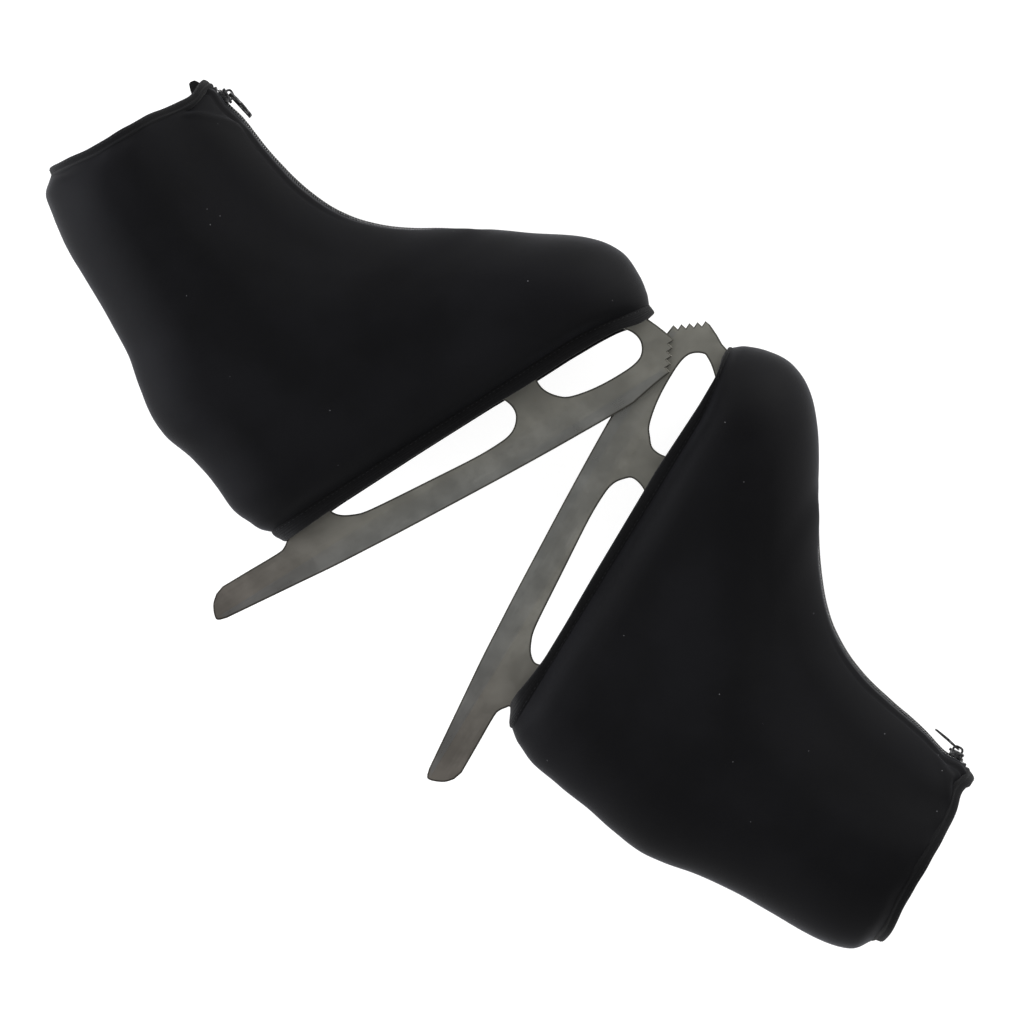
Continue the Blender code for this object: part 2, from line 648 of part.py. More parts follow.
def build_blade(skate):
    mesh = thick_outline(blade_outline(skate), -BLADE_THICK / 2, BLADE_THICK / 2, upright(skate))
    close_up(mesh)
    add_object(skate, "blade", mesh, "blade_steel")


# ---- the plates and screws ----
SOLE_FRAME = Matrix.Translation((0, 0, SOLE_AT_HEEL * MM)) @ Matrix.Rotation(math.atan(SOLE_DROP), 4, "Y")
TOE_PLATE = ((132, 6), (136, 11), (150, 17), (170, 25), (190, 27.5), (208, 26), (222, 20), (230, 12),
             (232, 6))
HEEL_PLATE = ((1.5, 6), (4, 13), (11, 18.5), (22, 20.5), (44, 19.5), (52, 14), (55, 6))
TOE_SCREWS = ((152, 11.5), (152, -11.5), (198, 19), (198, -19))
HEEL_SCREWS = ((15, 11.5), (15, -11.5), (42, 12.5), (42, -12.5))


def build_plate(skate, name, half_outline, screws):
    outline = [*half_outline, *((x, -q) for x, q in reversed(half_outline))]
    mesh = thick_outline(outline, -GAP - PLATE, -GAP, SOLE_FRAME)
    plate = add_object(skate, name, mesh, "plate_steel")
    combine(plate, [bore(skate, spot, -GAP - PLATE - 2, 2) for spot in screws], "DIFFERENCE")


def turned(skate, name, material, spot, profile):
    """A body turned about the line square to the sole at this spot, from (radius, rise) pairs."""
    def turn(guide):
        screw = guide.modifiers.new("turn", "SCREW")
        screw.steps = ROUND
        screw.render_steps = ROUND
        screw.use_merge_vertices = True
        screw.merge_threshold = WELD * MM

    line = bpy.data.meshes.new("profile")
    line.from_pydata([(radius * MM, 0, rise * MM) for radius, rise in profile],
                     [(i, i + 1) for i in range(len(profile) - 1)], [])
    mesh = plain_mesh(line, turn)
    mesh.transform(SOLE_FRAME @ Matrix.Translation((spot[0] * MM, spot[1] * MM, 0)))
    return add_object(skate, name, mesh, material)


def bore(skate, spot, low, high):
    """A cutter for a screw's hole between two rises above the sole."""
    mesh = bpy.data.meshes.new("bore")
    solid = bmesh.new()
    bmesh.ops.create_cone(solid, cap_ends=True, segments=ROUND, radius1=BORE * MM, radius2=BORE * MM,
                          depth=(high - low) * MM)
    solid.to_mesh(mesh)
    solid.free()
    mesh.transform(SOLE_FRAME @ Matrix.Translation((spot[0] * MM, spot[1] * MM, (low + high) / 2 * MM)))
    return as_cutter(add_object(skate, "bore", mesh, "plate_steel"))


def build_mounting(skate):
    build_plate(skate, "toe_plate", TOE_PLATE, TOE_SCREWS)
    build_plate(skate, "heel_plate", HEEL_PLATE, HEEL_SCREWS)
    under_head = -GAP - PLATE - 0.35
    for plate, screws, wood, reach in (("toe", TOE_SCREWS, "boot_outsole", SOLE_THICK - 1.0),
                                       ("heel", HEEL_SCREWS, "boot_heel", 14.0)):
        body = bpy.data.objects[f"{skate.name}_{wood}"]
        combine(body, [bore(skate, spot, -3, reach) for spot in screws], "DIFFERENCE")
        profile = ((0, reach - 0.5), (0.5, reach - 0.5), (SHANK, reach - 1.6), (SHANK, under_head),
                   (HEAD, under_head), (HEAD, under_head - 1.0), (HEAD - 1.2, under_head - 1.7),
                   (0, under_head - 1.7))
        for i, spot in enumerate(screws, 1):
            turned(skate, f"{plate}_screw_{i}", "plate_steel", spot, profile)


def build_skate(name, **where):
    skate = Skate(name, **where)
    build_cover(skate)
    build_zip(skate)
    build_boot(skate)
    build_blade(skate)
    build_mounting(skate)


clear_scene()
PARTS = new_collection("skates_in_boot_covers")
CUTTERS = new_collection("cutters")
make_materials()
for skate_name, where in SKATES.items():
    build_skate(skate_name, **where)
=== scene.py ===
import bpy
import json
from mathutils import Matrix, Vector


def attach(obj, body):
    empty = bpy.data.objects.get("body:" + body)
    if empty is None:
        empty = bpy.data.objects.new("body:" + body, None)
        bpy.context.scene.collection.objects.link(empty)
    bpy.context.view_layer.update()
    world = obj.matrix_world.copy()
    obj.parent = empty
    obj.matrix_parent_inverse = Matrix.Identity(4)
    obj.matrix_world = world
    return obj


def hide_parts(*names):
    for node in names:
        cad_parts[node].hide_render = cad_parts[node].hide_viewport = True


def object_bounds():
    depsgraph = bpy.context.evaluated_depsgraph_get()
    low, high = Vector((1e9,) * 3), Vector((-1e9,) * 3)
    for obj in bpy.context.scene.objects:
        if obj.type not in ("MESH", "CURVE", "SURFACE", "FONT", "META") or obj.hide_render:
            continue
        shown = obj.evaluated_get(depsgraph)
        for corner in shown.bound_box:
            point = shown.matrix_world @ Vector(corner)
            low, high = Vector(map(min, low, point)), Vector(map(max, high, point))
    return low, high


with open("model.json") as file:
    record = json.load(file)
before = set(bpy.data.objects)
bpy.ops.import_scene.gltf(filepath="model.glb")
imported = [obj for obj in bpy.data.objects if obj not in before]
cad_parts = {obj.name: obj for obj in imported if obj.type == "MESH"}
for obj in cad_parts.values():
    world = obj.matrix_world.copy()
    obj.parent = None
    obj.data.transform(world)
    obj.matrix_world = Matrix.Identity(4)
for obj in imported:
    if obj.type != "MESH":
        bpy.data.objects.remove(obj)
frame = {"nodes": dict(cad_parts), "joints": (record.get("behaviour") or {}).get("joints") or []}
CAD_BOX = [list(corner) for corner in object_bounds()]

# A pair of figure skates in zipped neoprene boot covers. Each skate is built in its own coordinates, in millimetres:
# x from heel to toe, z up the leg, q positive on the outer side of the foot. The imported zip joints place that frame.

import json
import math

import bmesh
import bpy
import numpy as np
from mathutils import Vector
from mathutils.geometry import tessellate_polygon

MM = 0.001

# ---- the shared surface that the cover, zip and boot are lofted from (the same driving numbers as the CAD part) ----
PANEL = 2.5
SLOT = 4.6
ARC_X, ARC_Z, ARC_R = 241.8, 208.5, 137.2
ZIP_TOP, ZIP_BOTTOM = 172.9, 245.4
SLIDER_REST = 176.1
PULL_PIVOT = -2.7
PULL_LIFT = 14.0
PULL_LONG = 16.5
BOOT_DEPTH = 5.6
LEATHER = 3.0
THROAT_HALF = 12.0
SOLE_AT_HEEL, SOLE_DROP, HEEL_RISE = 22.0, 0.045, 25.5
SOLE_THICK = 5.0
GAP = 0.4
TOE_DIP = 6.0
BLADE_THICK = 4.0
COIL_PITCH, WIRE = 1.5, 0.3
PULL_THICK = 0.96
STOP_TALL = 2.2
TAIL_Q = 5.0
TAPE_DEPTHS = 3.0, 3.75
TONGUE_GAP, TONGUE_THICK = 0.8, 3.2
HOLLOW, GROUND_BAND = 0.35, 1.7
SIDES = (("outer", 1), ("inner", -1))


def arc_point(angle, depth=0.0):
    a = math.radians(angle)
    return ARC_X + (ARC_R + depth) * math.cos(a), ARC_Z + (ARC_R + depth) * math.sin(a)


STATIONS = (
    ((2, 6), (236.5, 0.7), (19, 16, 28), (22, 34)),
    ((-6.5, 14), (240.5, 7), (29, 26, 40), (30, 42)),
    ((-12.5, 25), (242.8, 17), (33, 31.5, 45.5), (34, 46)),
    ((-15, 42), (240.5, 33), (35, 34, 46.5), (36, 48)),
    ((-18.5, 62), (229, 50), (36, 37, 43), (38, 50)),
    ((-22.7, 82), (207, 67), (36, 39, 38), (38, 54)),
    ((-23.6, 98), arc_point(246), (36, 40, 34), (38, 58)),
    ((-21.5, 112), arc_point(231.5), (36, 40, 32), (38, 60)),
    ((-18, 128), arc_point(217.5), (36.5, 40, 31), (38, 56)),
    ((-16, 150), arc_point(203.5), (38, 41.5, 32), (38, 52)),
    ((-15, 177), arc_point(191), (40, 43.5, 34), (38, 48)),
    ((-14, 203), arc_point(181), (41, 44.5, 34), (38, 46)),
    ((-8, 223), arc_point(175), (40, 43.5, 32), (38, 44)),
    ((2, 231), (102, 226.6), (37.5, 41.5, 30), (36, 42)),
    ((5, 236.5), (98, 232), (36.5, 40.5, 29), (36, 42)),
)
STATION_ROWS = np.array([[*b, *f, *w, *r] for b, f, w, r in STATIONS], float)
COLLAR, THROAT, BOOT_TOP = 12.9, 5.9, 12.8  # station numbers


def unit(v):
    """Vectors at length one, along the last axis."""
    v = np.asarray(v, float)
    return v / np.linalg.norm(v, axis=-1, keepdims=True)


def run_along(points):
    """The distance covered at each point of a path, or along each row of a grid."""
    steps = np.linalg.norm(np.diff(points, axis=-2), axis=-1)
    return np.concatenate([np.zeros_like(steps[..., :1]), np.cumsum(steps, axis=-1)], axis=-1)


def read(points, run, at):
    """A path's points at the given distances along its run."""
    return np.stack([np.interp(at, run, column) for column in np.transpose(points)], axis=-1)


def smooth(t, low, high):
    """A soft step from 0 at low to 1 at high."""
    t = np.clip((t - low) / (high - low), 0, 1)
    return t * t * (3 - 2 * t)


def hump(t, width, centre=0.0):
    return np.exp(-((t - centre) / width) ** 2)


# How the soft fabric of each cover stands off the loft, as (height, shift towards the toe) pairs for its back and its
# front, and (distance from the heel, height) pairs for the sole hem's lower edge and for the collar's rise or dip.
FABRIC = {
    "right": dict(
        back=((0, -0.3), (6, -2.8), (10, -1.9), (16, 0.9), (30, 1.0), (50, 2.6), (64, 2.2), (78, 0), (90, 0.4),
              (104, 1.9), (128, 2.6), (144, 2.0), (188, 1.7), (204, 2.4), (216, 1.8), (224, 0), (231, -2.2)),
        front=((0, 1.0), (6, -0.2), (14, -1.0), (22, -0.6), (32, 0), (42, 0), (52, -1.4), (60, -2.0), (76, -2.0),
               (81, -2.5), (88, 1.5), (95, 3.3), (103, 0.5), (112, -1.8), (124, -3.0), (136, -2.5), (152, -0.5),
               (170, 1.7), (190, 3.0), (200, 3.2), (206, 2.4), (211, 0.9), (215, -0.2), (220, -0.5), (225, 0.4),
               (232, 1.8)),
        hem=((0, -2.8), (14, -2.7), (40, -1.5), (90, -1.0), (138, -1.0), (158, -1.7), (186, -1.4), (206, -2.0),
             (217, -3.0), (224, -4.8), (230, -6.2), (238, -5.0)),
        collar=((3, 0), (15, -1.8), (30, -3.8), (66, -3.2), (80, -4.8), (90, -4.6), (94, -2.4), (97, 0),
                (99.5, 0.8), (102, 0.5), (105, 0)),
        tuck=0.5, toe=-1.0),
    "left": dict(
        back=((0, -6.2), (4, -6.4), (8, -5.0), (12, -3.0), (17, -1.2), (26, -0.8), (48, -0.8), (64, 0.5), (84, 1.0),
              (104, -0.5), (122, -1.5), (140, -0.6), (160, 0.3), (200, 0), (216, -1.2), (230, -1.5)),
        front=((0, -0.5), (12, -1.3), (24, -0.2), (40, 0.8), (50, 1.4), (60, 3.3), (66, 3.8), (74, 1.0), (80, -2.2),
               (86, 1.2), (92, 1.8), (104, 0.5), (114, -1.2), (124, -2.0), (140, -1.0), (154, 0.7), (170, 2.9),
               (186, 3.9), (196, 3.2), (203, 1.6), (208, 0.1), (213, -1.1), (218, -0.9), (223, 0.1), (232, 0.6)),
        hem=((0, -2.0), (14, -1.9), (22, -0.5), (38, 1.2), (60, 1.2), (90, 0.5), (156, 0), (198, 1.5), (216, 1.2),
             (224, -0.2), (230, -1.6), (238, -1.0)),
        collar=((3, 0.5), (9, 2.2), (18, 1.0), (30, 0.5), (50, 1.1), (72, 1.6), (82, 0.8), (86, -0.5),
                (89, -1.8), (92, -0.8), (96, 2.2), (99, 2.2), (103, 0.3), (106, 0)),
        tuck=4.0, toe=1.2),
}


def along_table(table, at):
    """A smoothed reading of (place, value) pairs."""
    place, value = np.array(table, float).T
    steps = [np.interp(at + shift, place, value) for shift in (-3.0, -1.5, 0.0, 1.5, 3.0)]
    return sum(steps) / len(steps)


class Skate:
    """One skate's frame, read from its two packed joints, and the small differences between the two covers."""

    def __init__(self, name, hand, back, front):
        joints = {j["name"]: j for j in frame["joints"]}
        travel, hinge = joints[name + "_zip_travel"], joints[name + "_pull_hinge"]
        self.name = name
        self.hand = hand
        self.arc_shift = front[-1]
        centre = np.array(travel["pos_m"]) / MM
        side = -np.array(travel["axis"])
        out = unit(np.array(hinge["pos_m"]) / MM - centre)
        across = np.cross(side, out)
        a = math.radians(SLIDER_REST)
        self.x_axis = math.cos(a) * out + math.sin(a) * across
        self.z_axis = math.sin(a) * out - math.cos(a) * across
        self.q_axis = hand * side
        self.origin = centre - (ARC_X + self.arc_shift) * self.x_axis - ARC_Z * self.z_axis
        self.rows = STATION_ROWS.copy()
        count = range(len(STATIONS))
        self.rows[:, 0] += back * np.interp(count, (0, 3), (0, 1))
        self.rows[:, 2] += np.interp(count, range(len(front)), front)

    def world(self, points):
        """World metres of (x, q, z) points."""
        p = np.asarray(points, float)
        axes = np.stack([self.x_axis, self.q_axis, self.z_axis])
        return (self.origin + p @ axes) * MM

    def drape(self, points):
        """The loft's points moved to where this cover's fabric really lies."""
        points = np.array(points, float)
        fabric = FABRIC[self.name]
        x, z = points[..., 0], points[..., 2]
        rear = np.interp(z, self.rows[:, 1], self.rows[:, 0])
        front = np.interp(z, self.rows[:, 3], self.rows[:, 2])
        share = (x - rear) / (front - rear)
        near_back = 1 - smooth(share, 0.02, 0.55)
        near_front = smooth(share, 0.45, 0.97)
        top = smooth(z, 214, 227)
        shift = near_back * along_table(fabric["back"], z) + near_front * along_table(fabric["front"], z)
        points[..., 0] = x + shift
        points[..., 2] = z + top * along_table(fabric["collar"], x - self.arc_shift * near_front)
        return points

    def floor(self, x, z):
        """The side coordinate q at which the floor lies under a point."""
        height = self.origin[2] + x * self.x_axis[2] + z * self.z_axis[2]
        return -height / self.q_axis[2]

    def arc(self, angle, depth=0.0):
        x, z = arc_point(angle, depth)
        return x + self.arc_shift, z


# ---- loft ----
def station(rows, s):
    i = min(int(s), len(rows) - 2)
    f = s - i
    p1, p2 = rows[i], rows[i + 1]
    p0 = rows[i - 1] if i else 2 * p1 - p2
    p3 = rows[i + 2] if i + 2 < len(rows) else 2 * p2 - p1
    return 0.5 * (2 * p1 + (p2 - p0) * f + (2 * p0 - 5 * p1 + 4 * p2 - p3) * f**2
                  + (3 * p1 - p0 - 3 * p2 + p3) * f**3)


def half_widths(t, length, widths, rounds):
    back, middle, front = widths
    body = back + (middle - back) * smooth(t, 0.12, 0.45) + (front - middle) * smooth(t, 0.45, 0.8)
    for reach, run in ((t * length, rounds[0]), ((1 - t) * length, rounds[1])):
        body = body * np.sqrt(np.clip(1 - (1 - np.minimum(reach / run, 1)) ** 2, 0, 1))
    return body


def half_ring(skate, s, share, q_back=0.0, q_front=0.0):
    """Points from back to front along section s at the given shares (0 to 1) of its run."""
    row = station(skate.rows, s)
    back, front = row[0:2], row[2:4]
    t = (1 - np.cos(np.linspace(0, math.pi, 401))) / 2
    line = back + (front - back) * t[:, None]
    line[:, 1] += TOE_DIP * max(0.0, 1 - s / 3) * t * (1 - smooth(t, 0.8, 1))
    fine = np.stack([line[:, 0], half_widths(t, np.linalg.norm(front - back), row[4:7], row[7:9]), line[:, 1]], 1)
    half = len(fine) // 2
    first = int(np.argmax(fine[:half, 1] >= q_back))
    last = len(fine) - 1 - int(np.argmax(fine[half:, 1][::-1] >= q_front))
    # the cut ends are placed exactly where the section reaches the wanted q
    if first:
        f = (q_back - fine[first - 1, 1]) / (fine[first, 1] - fine[first - 1, 1])
        fine[first - 1] += f * (fine[first] - fine[first - 1])
        first -= 1
    if last < len(fine) - 1:
        f = (q_front - fine[last, 1]) / (fine[last + 1, 1] - fine[last, 1])
        fine[last + 1] = fine[last] + f * (fine[last + 1] - fine[last])
        last += 1
    fine = fine[first:last + 1]
    run = run_along(fine)
    return read(fine, run, np.asarray(share) * run[-1])


def soft_max(a, b, k):
    d = a - b
    return b + (d + np.sqrt(d * d + k * k)) / 2


def grid_of(skate, stations, share, outer, q_back=0.0, q_front=lambda s: 0.0):
    """The surface at every (station, share), with its outward normals."""
    grid = []
    for row in stations:
        if np.ndim(row):
            grid.append([half_ring(skate, s, share, q_back, q_front(s))[j] for j, s in enumerate(row)])
        else:
            grid.append(half_ring(skate, row, share, q_back, q_front(row)))
    grid = np.array(grid)
    normal = np.cross(np.gradient(grid, axis=0), np.gradient(grid, axis=1))
    # in the middle plane the two sides meet, so their normals there have no q
    middle = normal[:, [0, -1]]
    middle[..., 1][grid[:, [0, -1], 1] < 1] = 0
    normal[:, [0, -1]] = middle
    normal = unit(normal)
    if not outer:
        grid[..., 1] *= -1
        normal[..., 1] *= -1
    return grid, normal


def lay(skate, points, depth=0.0):
    """Fabric on the under side rests on the floor, flattened softly; depth is how far inside the skin it is."""
    points = skate.drape(points)
    floor = skate.floor(points[..., 0], points[..., 2]) + np.maximum(depth, 0) + 0.05
    low = points[..., 1] < 0
    points[..., 1] = np.where(low, soft_max(points[..., 1], floor, 1.6), points[..., 1])
    return points


def offset(skate, grid, normal, depth, stand=0.0):
    """A surface moved inwards, or out by its relief, with both edges kept in their planes, and laid down."""
    moved = grid + normal * np.asarray(stand - depth)[..., None]
    moved[..., [0, -1], 1] = grid[..., [0, -1], 1]
    return lay(skate, moved, depth)


# ---- meshes ----
def add_piece(skate, label, material, points, faces, node=None, body="skate", fabric=None, sharp=40, lining=None):
    """A mesh piece from (x, q, z) points that rides on one of the skate's bodies, in the place of a CAD node if one is
    named. fabric is a coordinate in millimetres for weaves; lining marks the faces inside the boot."""
    mesh = bpy.data.meshes.new(f"{skate.name}_{label}")
    mesh.from_pydata(skate.world(points).reshape(-1, 3).tolist(), [], faces)
    if fabric is not None:
        attribute = mesh.attributes.new("fabric", "FLOAT_VECTOR", "POINT")
        attribute.data.foreach_set("vector", np.asarray(fabric, np.float32).ravel())
    mesh.materials.append(MATERIALS[material])
    if lining is not None:
        mesh.materials.append(MATERIALS["boot_lining"])
        mesh.polygons.foreach_set("material_index", lining)
    solid = bmesh.new()
    solid.from_mesh(mesh)
    bmesh.ops.recalc_face_normals(solid, faces=solid.faces)
    solid.to_mesh(mesh)
    solid.free()
    mesh.shade_smooth()
    mesh.set_sharp_from_angle(angle=math.radians(sharp))
    piece = bpy.data.objects.new(mesh.name, mesh)
    bpy.context.scene.collection.objects.link(piece)
    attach(piece, f"{skate.name}_{body}")
    if node:
        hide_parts(f"{skate.name}_{node}")
    return piece


def soften(piece, width, angle):
    """Rounds a piece's edges that are sharper than the angle."""
    bevel = piece.modifiers.new("edge", "BEVEL")
    bevel.width = width * MM
    bevel.segments = 2
    bevel.limit_method = "ANGLE"
    bevel.angle_limit = math.radians(angle)


def tube_faces(rings, count, caps=True, closed=False):
    """Faces of a loft through rings of count points each."""
    faces = []
    for i in range(rings if closed else rings - 1):
        k = (i + 1) % rings
        faces += [(i * count + j, i * count + (j + 1) % count, k * count + (j + 1) % count, k * count + j)
                  for j in range(count)]
    if caps:
        faces += [tuple(range(count)), tuple(range((rings - 1) * count, rings * count))]
    return faces


def sheet_faces(loops, edge=0):
    """Faces of a thick sheet whose rings run out, round an edge of so many points and back again, with both end rings
    closed in quads."""
    rings, count = loops.shape[:2]
    cols, turn = count // 2 - edge, count - edge
    ends = [(j, j + 1, turn - 2 - j, turn - 1 - j) for j in range(cols - 1)]
    if edge:
        ends += [tuple(range(cols - 1, cols + edge + 1)), (0, *range(turn - 1, count))]
    return tube_faces(rings, count, caps=False) + ends + [tuple(v + (rings - 1) * count for v in f) for f in ends]


def sheet_loops(outside, inside, rim, lift):
    """Loops round a thick sheet. rim holds (share of the thickness, bulge) pairs for its front edge, and lift says how
    much of the bulge each row has, signed by the side."""
    front = [outside[:, -1] * (1 - p) + inside[:, -1] * p - np.outer(bulge * lift, (0, 1, 0)) for p, bulge in rim]
    back = [outside[:, 0] * (1 - p) + inside[:, 0] * p for p, _ in reversed(rim)]
    return np.concatenate([outside, np.stack(front, axis=1), inside[:, ::-1], np.stack(back, axis=1)], axis=1)


def fabric_coords(grid):
    """Millimetres along each row from its middle, and down each column, for a grid of points."""
    across = run_along(grid)
    across -= across[:, grid.shape[1] // 2][:, None]
    down = run_along(grid.swapaxes(0, 1)).T
    return np.stack([across, down, np.zeros_like(down)], axis=2)


def band_coords(loops, column, step):
    """The same for a narrow band of loops: its length along one column, and a step for each point of the loops."""
    coords = np.zeros(loops.shape)
    coords[..., 0] = run_along(loops[:, column])[:, None]
    coords[..., 1] = np.arange(loops.shape[1]) * step
    return coords


# ---- materials ----
MATERIALS = {}


class Nodes:
    """A small helper for node trees."""

    def __init__(self, tree):
        self.tree = tree
        tree.nodes.clear()

    def add(self, kind, **values):
        node = self.tree.nodes.new(kind)
        for key, value in values.items():
            setattr(node, key, value)
        return node

    def put(self, target, value):
        """Links a socket, or sets a value; a colour of three numbers is made opaque."""
        if isinstance(value, bpy.types.NodeSocket):
            self.tree.links.new(value, target)
        else:
            target.default_value = (*value, 1) if isinstance(value, tuple) and len(value) == 3 else value

    def feed(self, node, output=0, **values):
        """Puts values on a node's inputs, named in lower case, and returns an output."""
        for key, value in values.items():
            self.put(node.inputs[INPUTS.get(key, key.replace("_", " ").title())], value)
        return node.outputs[output]

    def noise(self, vector, scale, detail=3.0, roughness=0.55):
        return self.feed(self.add("ShaderNodeTexNoise"), "Fac", vector=vector, scale=scale, detail=detail,
                         roughness=roughness)

    def voronoi(self, vector, scale, feature="F1", output="Distance"):
        return self.feed(self.add("ShaderNodeTexVoronoi", feature=feature), output, vector=vector, scale=scale)

    def wave(self, vector, scale, direction, distortion):
        return self.feed(self.add("ShaderNodeTexWave", bands_direction=direction), "Fac", vector=vector, scale=scale,
                         distortion=distortion)

    def math(self, operation, a, b):
        node = self.add("ShaderNodeMath", operation=operation)
        self.put(node.inputs[0], a)
        self.put(node.inputs[1], b)
        return node.outputs[0]

    def times(self, a, b):
        return self.math("MULTIPLY", a, b)

    def ramp(self, value, low, high, out_low=0.0, out_high=1.0, kind="SMOOTHSTEP"):
        return self.feed(self.add("ShaderNodeMapRange", interpolation_type=kind), value=value, from_min=low,
                         from_max=high, to_min=out_low, to_max=out_high)

    def mix(self, factor, a, b):
        node = self.add("ShaderNodeMix", data_type="RGBA")
        for key, value in (("Factor", factor), (6, a), (7, b)):
            self.put(node.inputs[key], value)
        return node.outputs[2]

    def split(self, vector):
        node = self.add("ShaderNodeSeparateXYZ")
        self.put(node.inputs[0], vector)
        return node.outputs

    def attribute(self, name, output="Fac"):
        return self.add("ShaderNodeAttribute", attribute_name=name).outputs[output]

    def bump(self, height, distance, normal=None, strength=1.0):
        node = self.add("ShaderNodeBump")
        if normal is not None:
            self.put(node.inputs["Normal"], normal)
        return self.feed(node, strength=strength, distance=distance * MM, height=height)


INPUTS = {"colour": "Base Color", "specular": "Specular IOR Level", "sheen": "Sheen Weight", "coat": "Coat Weight"}


class Material(Nodes):
    def __init__(self, name):
        MATERIALS[name] = bpy.data.materials.new(name)
        MATERIALS[name].use_nodes = True
        super().__init__(MATERIALS[name].node_tree)
        self.shader = self.add("ShaderNodeBsdfPrincipled")
        self.put(self.add("ShaderNodeOutputMaterial").inputs[0], self.shader.outputs[0])

    def scaled(self, vector, scale):
        node = self.add("ShaderNodeMapping")
        node.inputs["Scale"].default_value = scale
        self.put(node.inputs["Vector"], vector)
        return node.outputs[0]

    def place(self, scale=(1, 1, 1)):
        """Coordinates of the object in millimetres."""
        return self.scaled(self.add("ShaderNodeTexCoord").outputs["Object"], [s / MM for s in scale])

    def weave(self, scale=(1, 1, 1)):
        """Coordinates along the fabric in millimetres."""
        return self.scaled(self.attribute("fabric", "Vector"), scale)

    def set(self, **values):
        self.feed(self.shader, **values)


def make_neoprene():
    """Smooth jersey-faced neoprene: fine knit ribs, a soft nap that catches light at grazing angles, a little lint."""
    m = Material("neoprene")
    place, weave = m.place(), m.weave()
    wales, courses = m.wave(weave, 0.62, "X", 0.4), m.wave(weave, 0.78, "Y", 0.5)
    knit = m.math("ADD", m.times(wales, 0.6), m.times(courses, 0.4))
    fuzz = m.noise(place, 1.6, 4, 0.7)
    cloud = m.noise(place, 0.018, 3, 0.5)
    speck = m.math("LESS_THAN", m.voronoi(place, 0.095), 0.026)
    lint = m.times(speck, m.math("GREATER_THAN", m.voronoi(place, 0.13, output="Color"), 0.35))
    base = m.mix(m.ramp(cloud, 0.35, 0.65), (0.0024, 0.0024, 0.0029), (0.0038, 0.0038, 0.0046))
    base = m.mix(m.times(m.ramp(fuzz, 0.5, 0.8), 0.35), base, (0.009, 0.009, 0.010))
    base = m.mix(m.times(lint, 0.6), base, (0.20, 0.20, 0.21))
    ribs = m.bump(knit, 0.06, strength=0.5)
    nap = m.bump(fuzz, 0.05, ribs, strength=0.35)
    soft = m.bump(cloud, 1.2, nap, strength=0.35)
    m.set(colour=base, roughness=m.ramp(cloud, 0.3, 0.7, 0.60, 0.70), specular=0.06, normal=soft,
          sheen=0.12, sheen_roughness=0.26, sheen_tint=(0.82, 0.84, 0.95))


def make_weave(name, dark, light, pitch, roughness, specular=0.14, sheen=0.12):
    """A plain woven tape or binding with the given thread pitch in millimetres."""
    m = Material(name)
    place, weave = m.place(), m.weave()
    cloth = m.times(*(m.wave(weave, 1 / pitch / math.pi, direction, 0.3) for direction in "XY"))
    wear = m.noise(place, 0.08, 4, 0.6)
    base = m.mix(m.times(cloth, m.ramp(wear, 0.3, 0.8, 0.5, 1.0)), dark, light)
    m.set(colour=base, roughness=roughness, specular=specular, normal=m.bump(cloth, 0.16, strength=0.7),
          sheen=sheen, sheen_roughness=0.5)


def make_thread():
    m = Material("thread")
    twist = m.wave(m.place(), 0.9, "DIAGONAL", 0.2)
    base = m.mix(twist, (0.006, 0.006, 0.007), (0.015, 0.015, 0.017))
    m.set(colour=base, roughness=0.6, specular=0.12, normal=m.bump(twist, 0.08), sheen=0.1, sheen_roughness=0.4)


def make_worn(name, wear, tones, worn, gloss, grain, **looks):
    """A hard material whose tone and gloss change where it is worn: the coils' nylon and the slider's metal."""
    m = Material(name)
    place = m.place()
    wear = m.noise(place, *wear)
    base = m.mix(m.ramp(wear, *worn), *tones)
    m.set(colour=base, roughness=m.ramp(wear, *gloss), normal=m.bump(m.noise(place, grain), 0.03, strength=0.4),
          **looks)


def make_steel(name, colour, warm, roughness, scratch_scale, edge=False):
    """Dull steel: cloudy grey with brownish tarnish, faint scratches along its length and small pits. The blade also
    has painted shade that darkens the edges round its outline, a brighter ground edge and a browner tail."""
    m = Material(name)
    place = m.place()
    along = m.weave((0.03, 1.0, 1.0)) if edge else m.place((1, 1, 0.2))
    cloud = m.noise(place, 0.045, 5, 0.62)
    mottle = m.noise(place, 0.22, 4, 0.7)
    scratch = m.noise(along, scratch_scale, 5, 0.7)
    pits = m.math("LESS_THAN", m.voronoi(place, 0.42), 0.055)
    base = m.mix(m.ramp(cloud, 0.32, 0.68), tuple(0.94 * c for c in colour), colour)
    base = m.mix(m.times(m.ramp(mottle, 0.52, 0.78), 0.35), base, warm)
    base = m.mix(m.times(pits, 0.35), base, tuple(0.4 * c for c in colour))
    rough = m.math("ADD", m.ramp(cloud, 0.3, 0.7, roughness - 0.06, roughness + 0.06),
                   m.ramp(scratch, 0.35, 0.75, -0.02, 0.03))
    if edge:
        rim, ground = m.attribute("rim"), m.attribute("ground")
        from_heel = m.split(m.weave())["X"]
        base = m.mix(m.ramp(from_heel, -50, 75, 0.85, 0.0), base, (0.178, 0.160, 0.142))
        # painted shade: the bevel round the blade's outline is mixed towards near black
        base = m.mix(m.times(m.ramp(rim, 0.2, 1.0), 0.85), base, tuple(0.10 * c for c in warm))
        base = m.mix(m.times(ground, 0.30), base, (0.36, 0.38, 0.40))
        rough = m.math("SUBTRACT", rough, m.times(ground, 0.08))
    m.set(colour=base, metallic=1.0, roughness=rough, normal=m.bump(cloud, 0.5, strength=0.12))


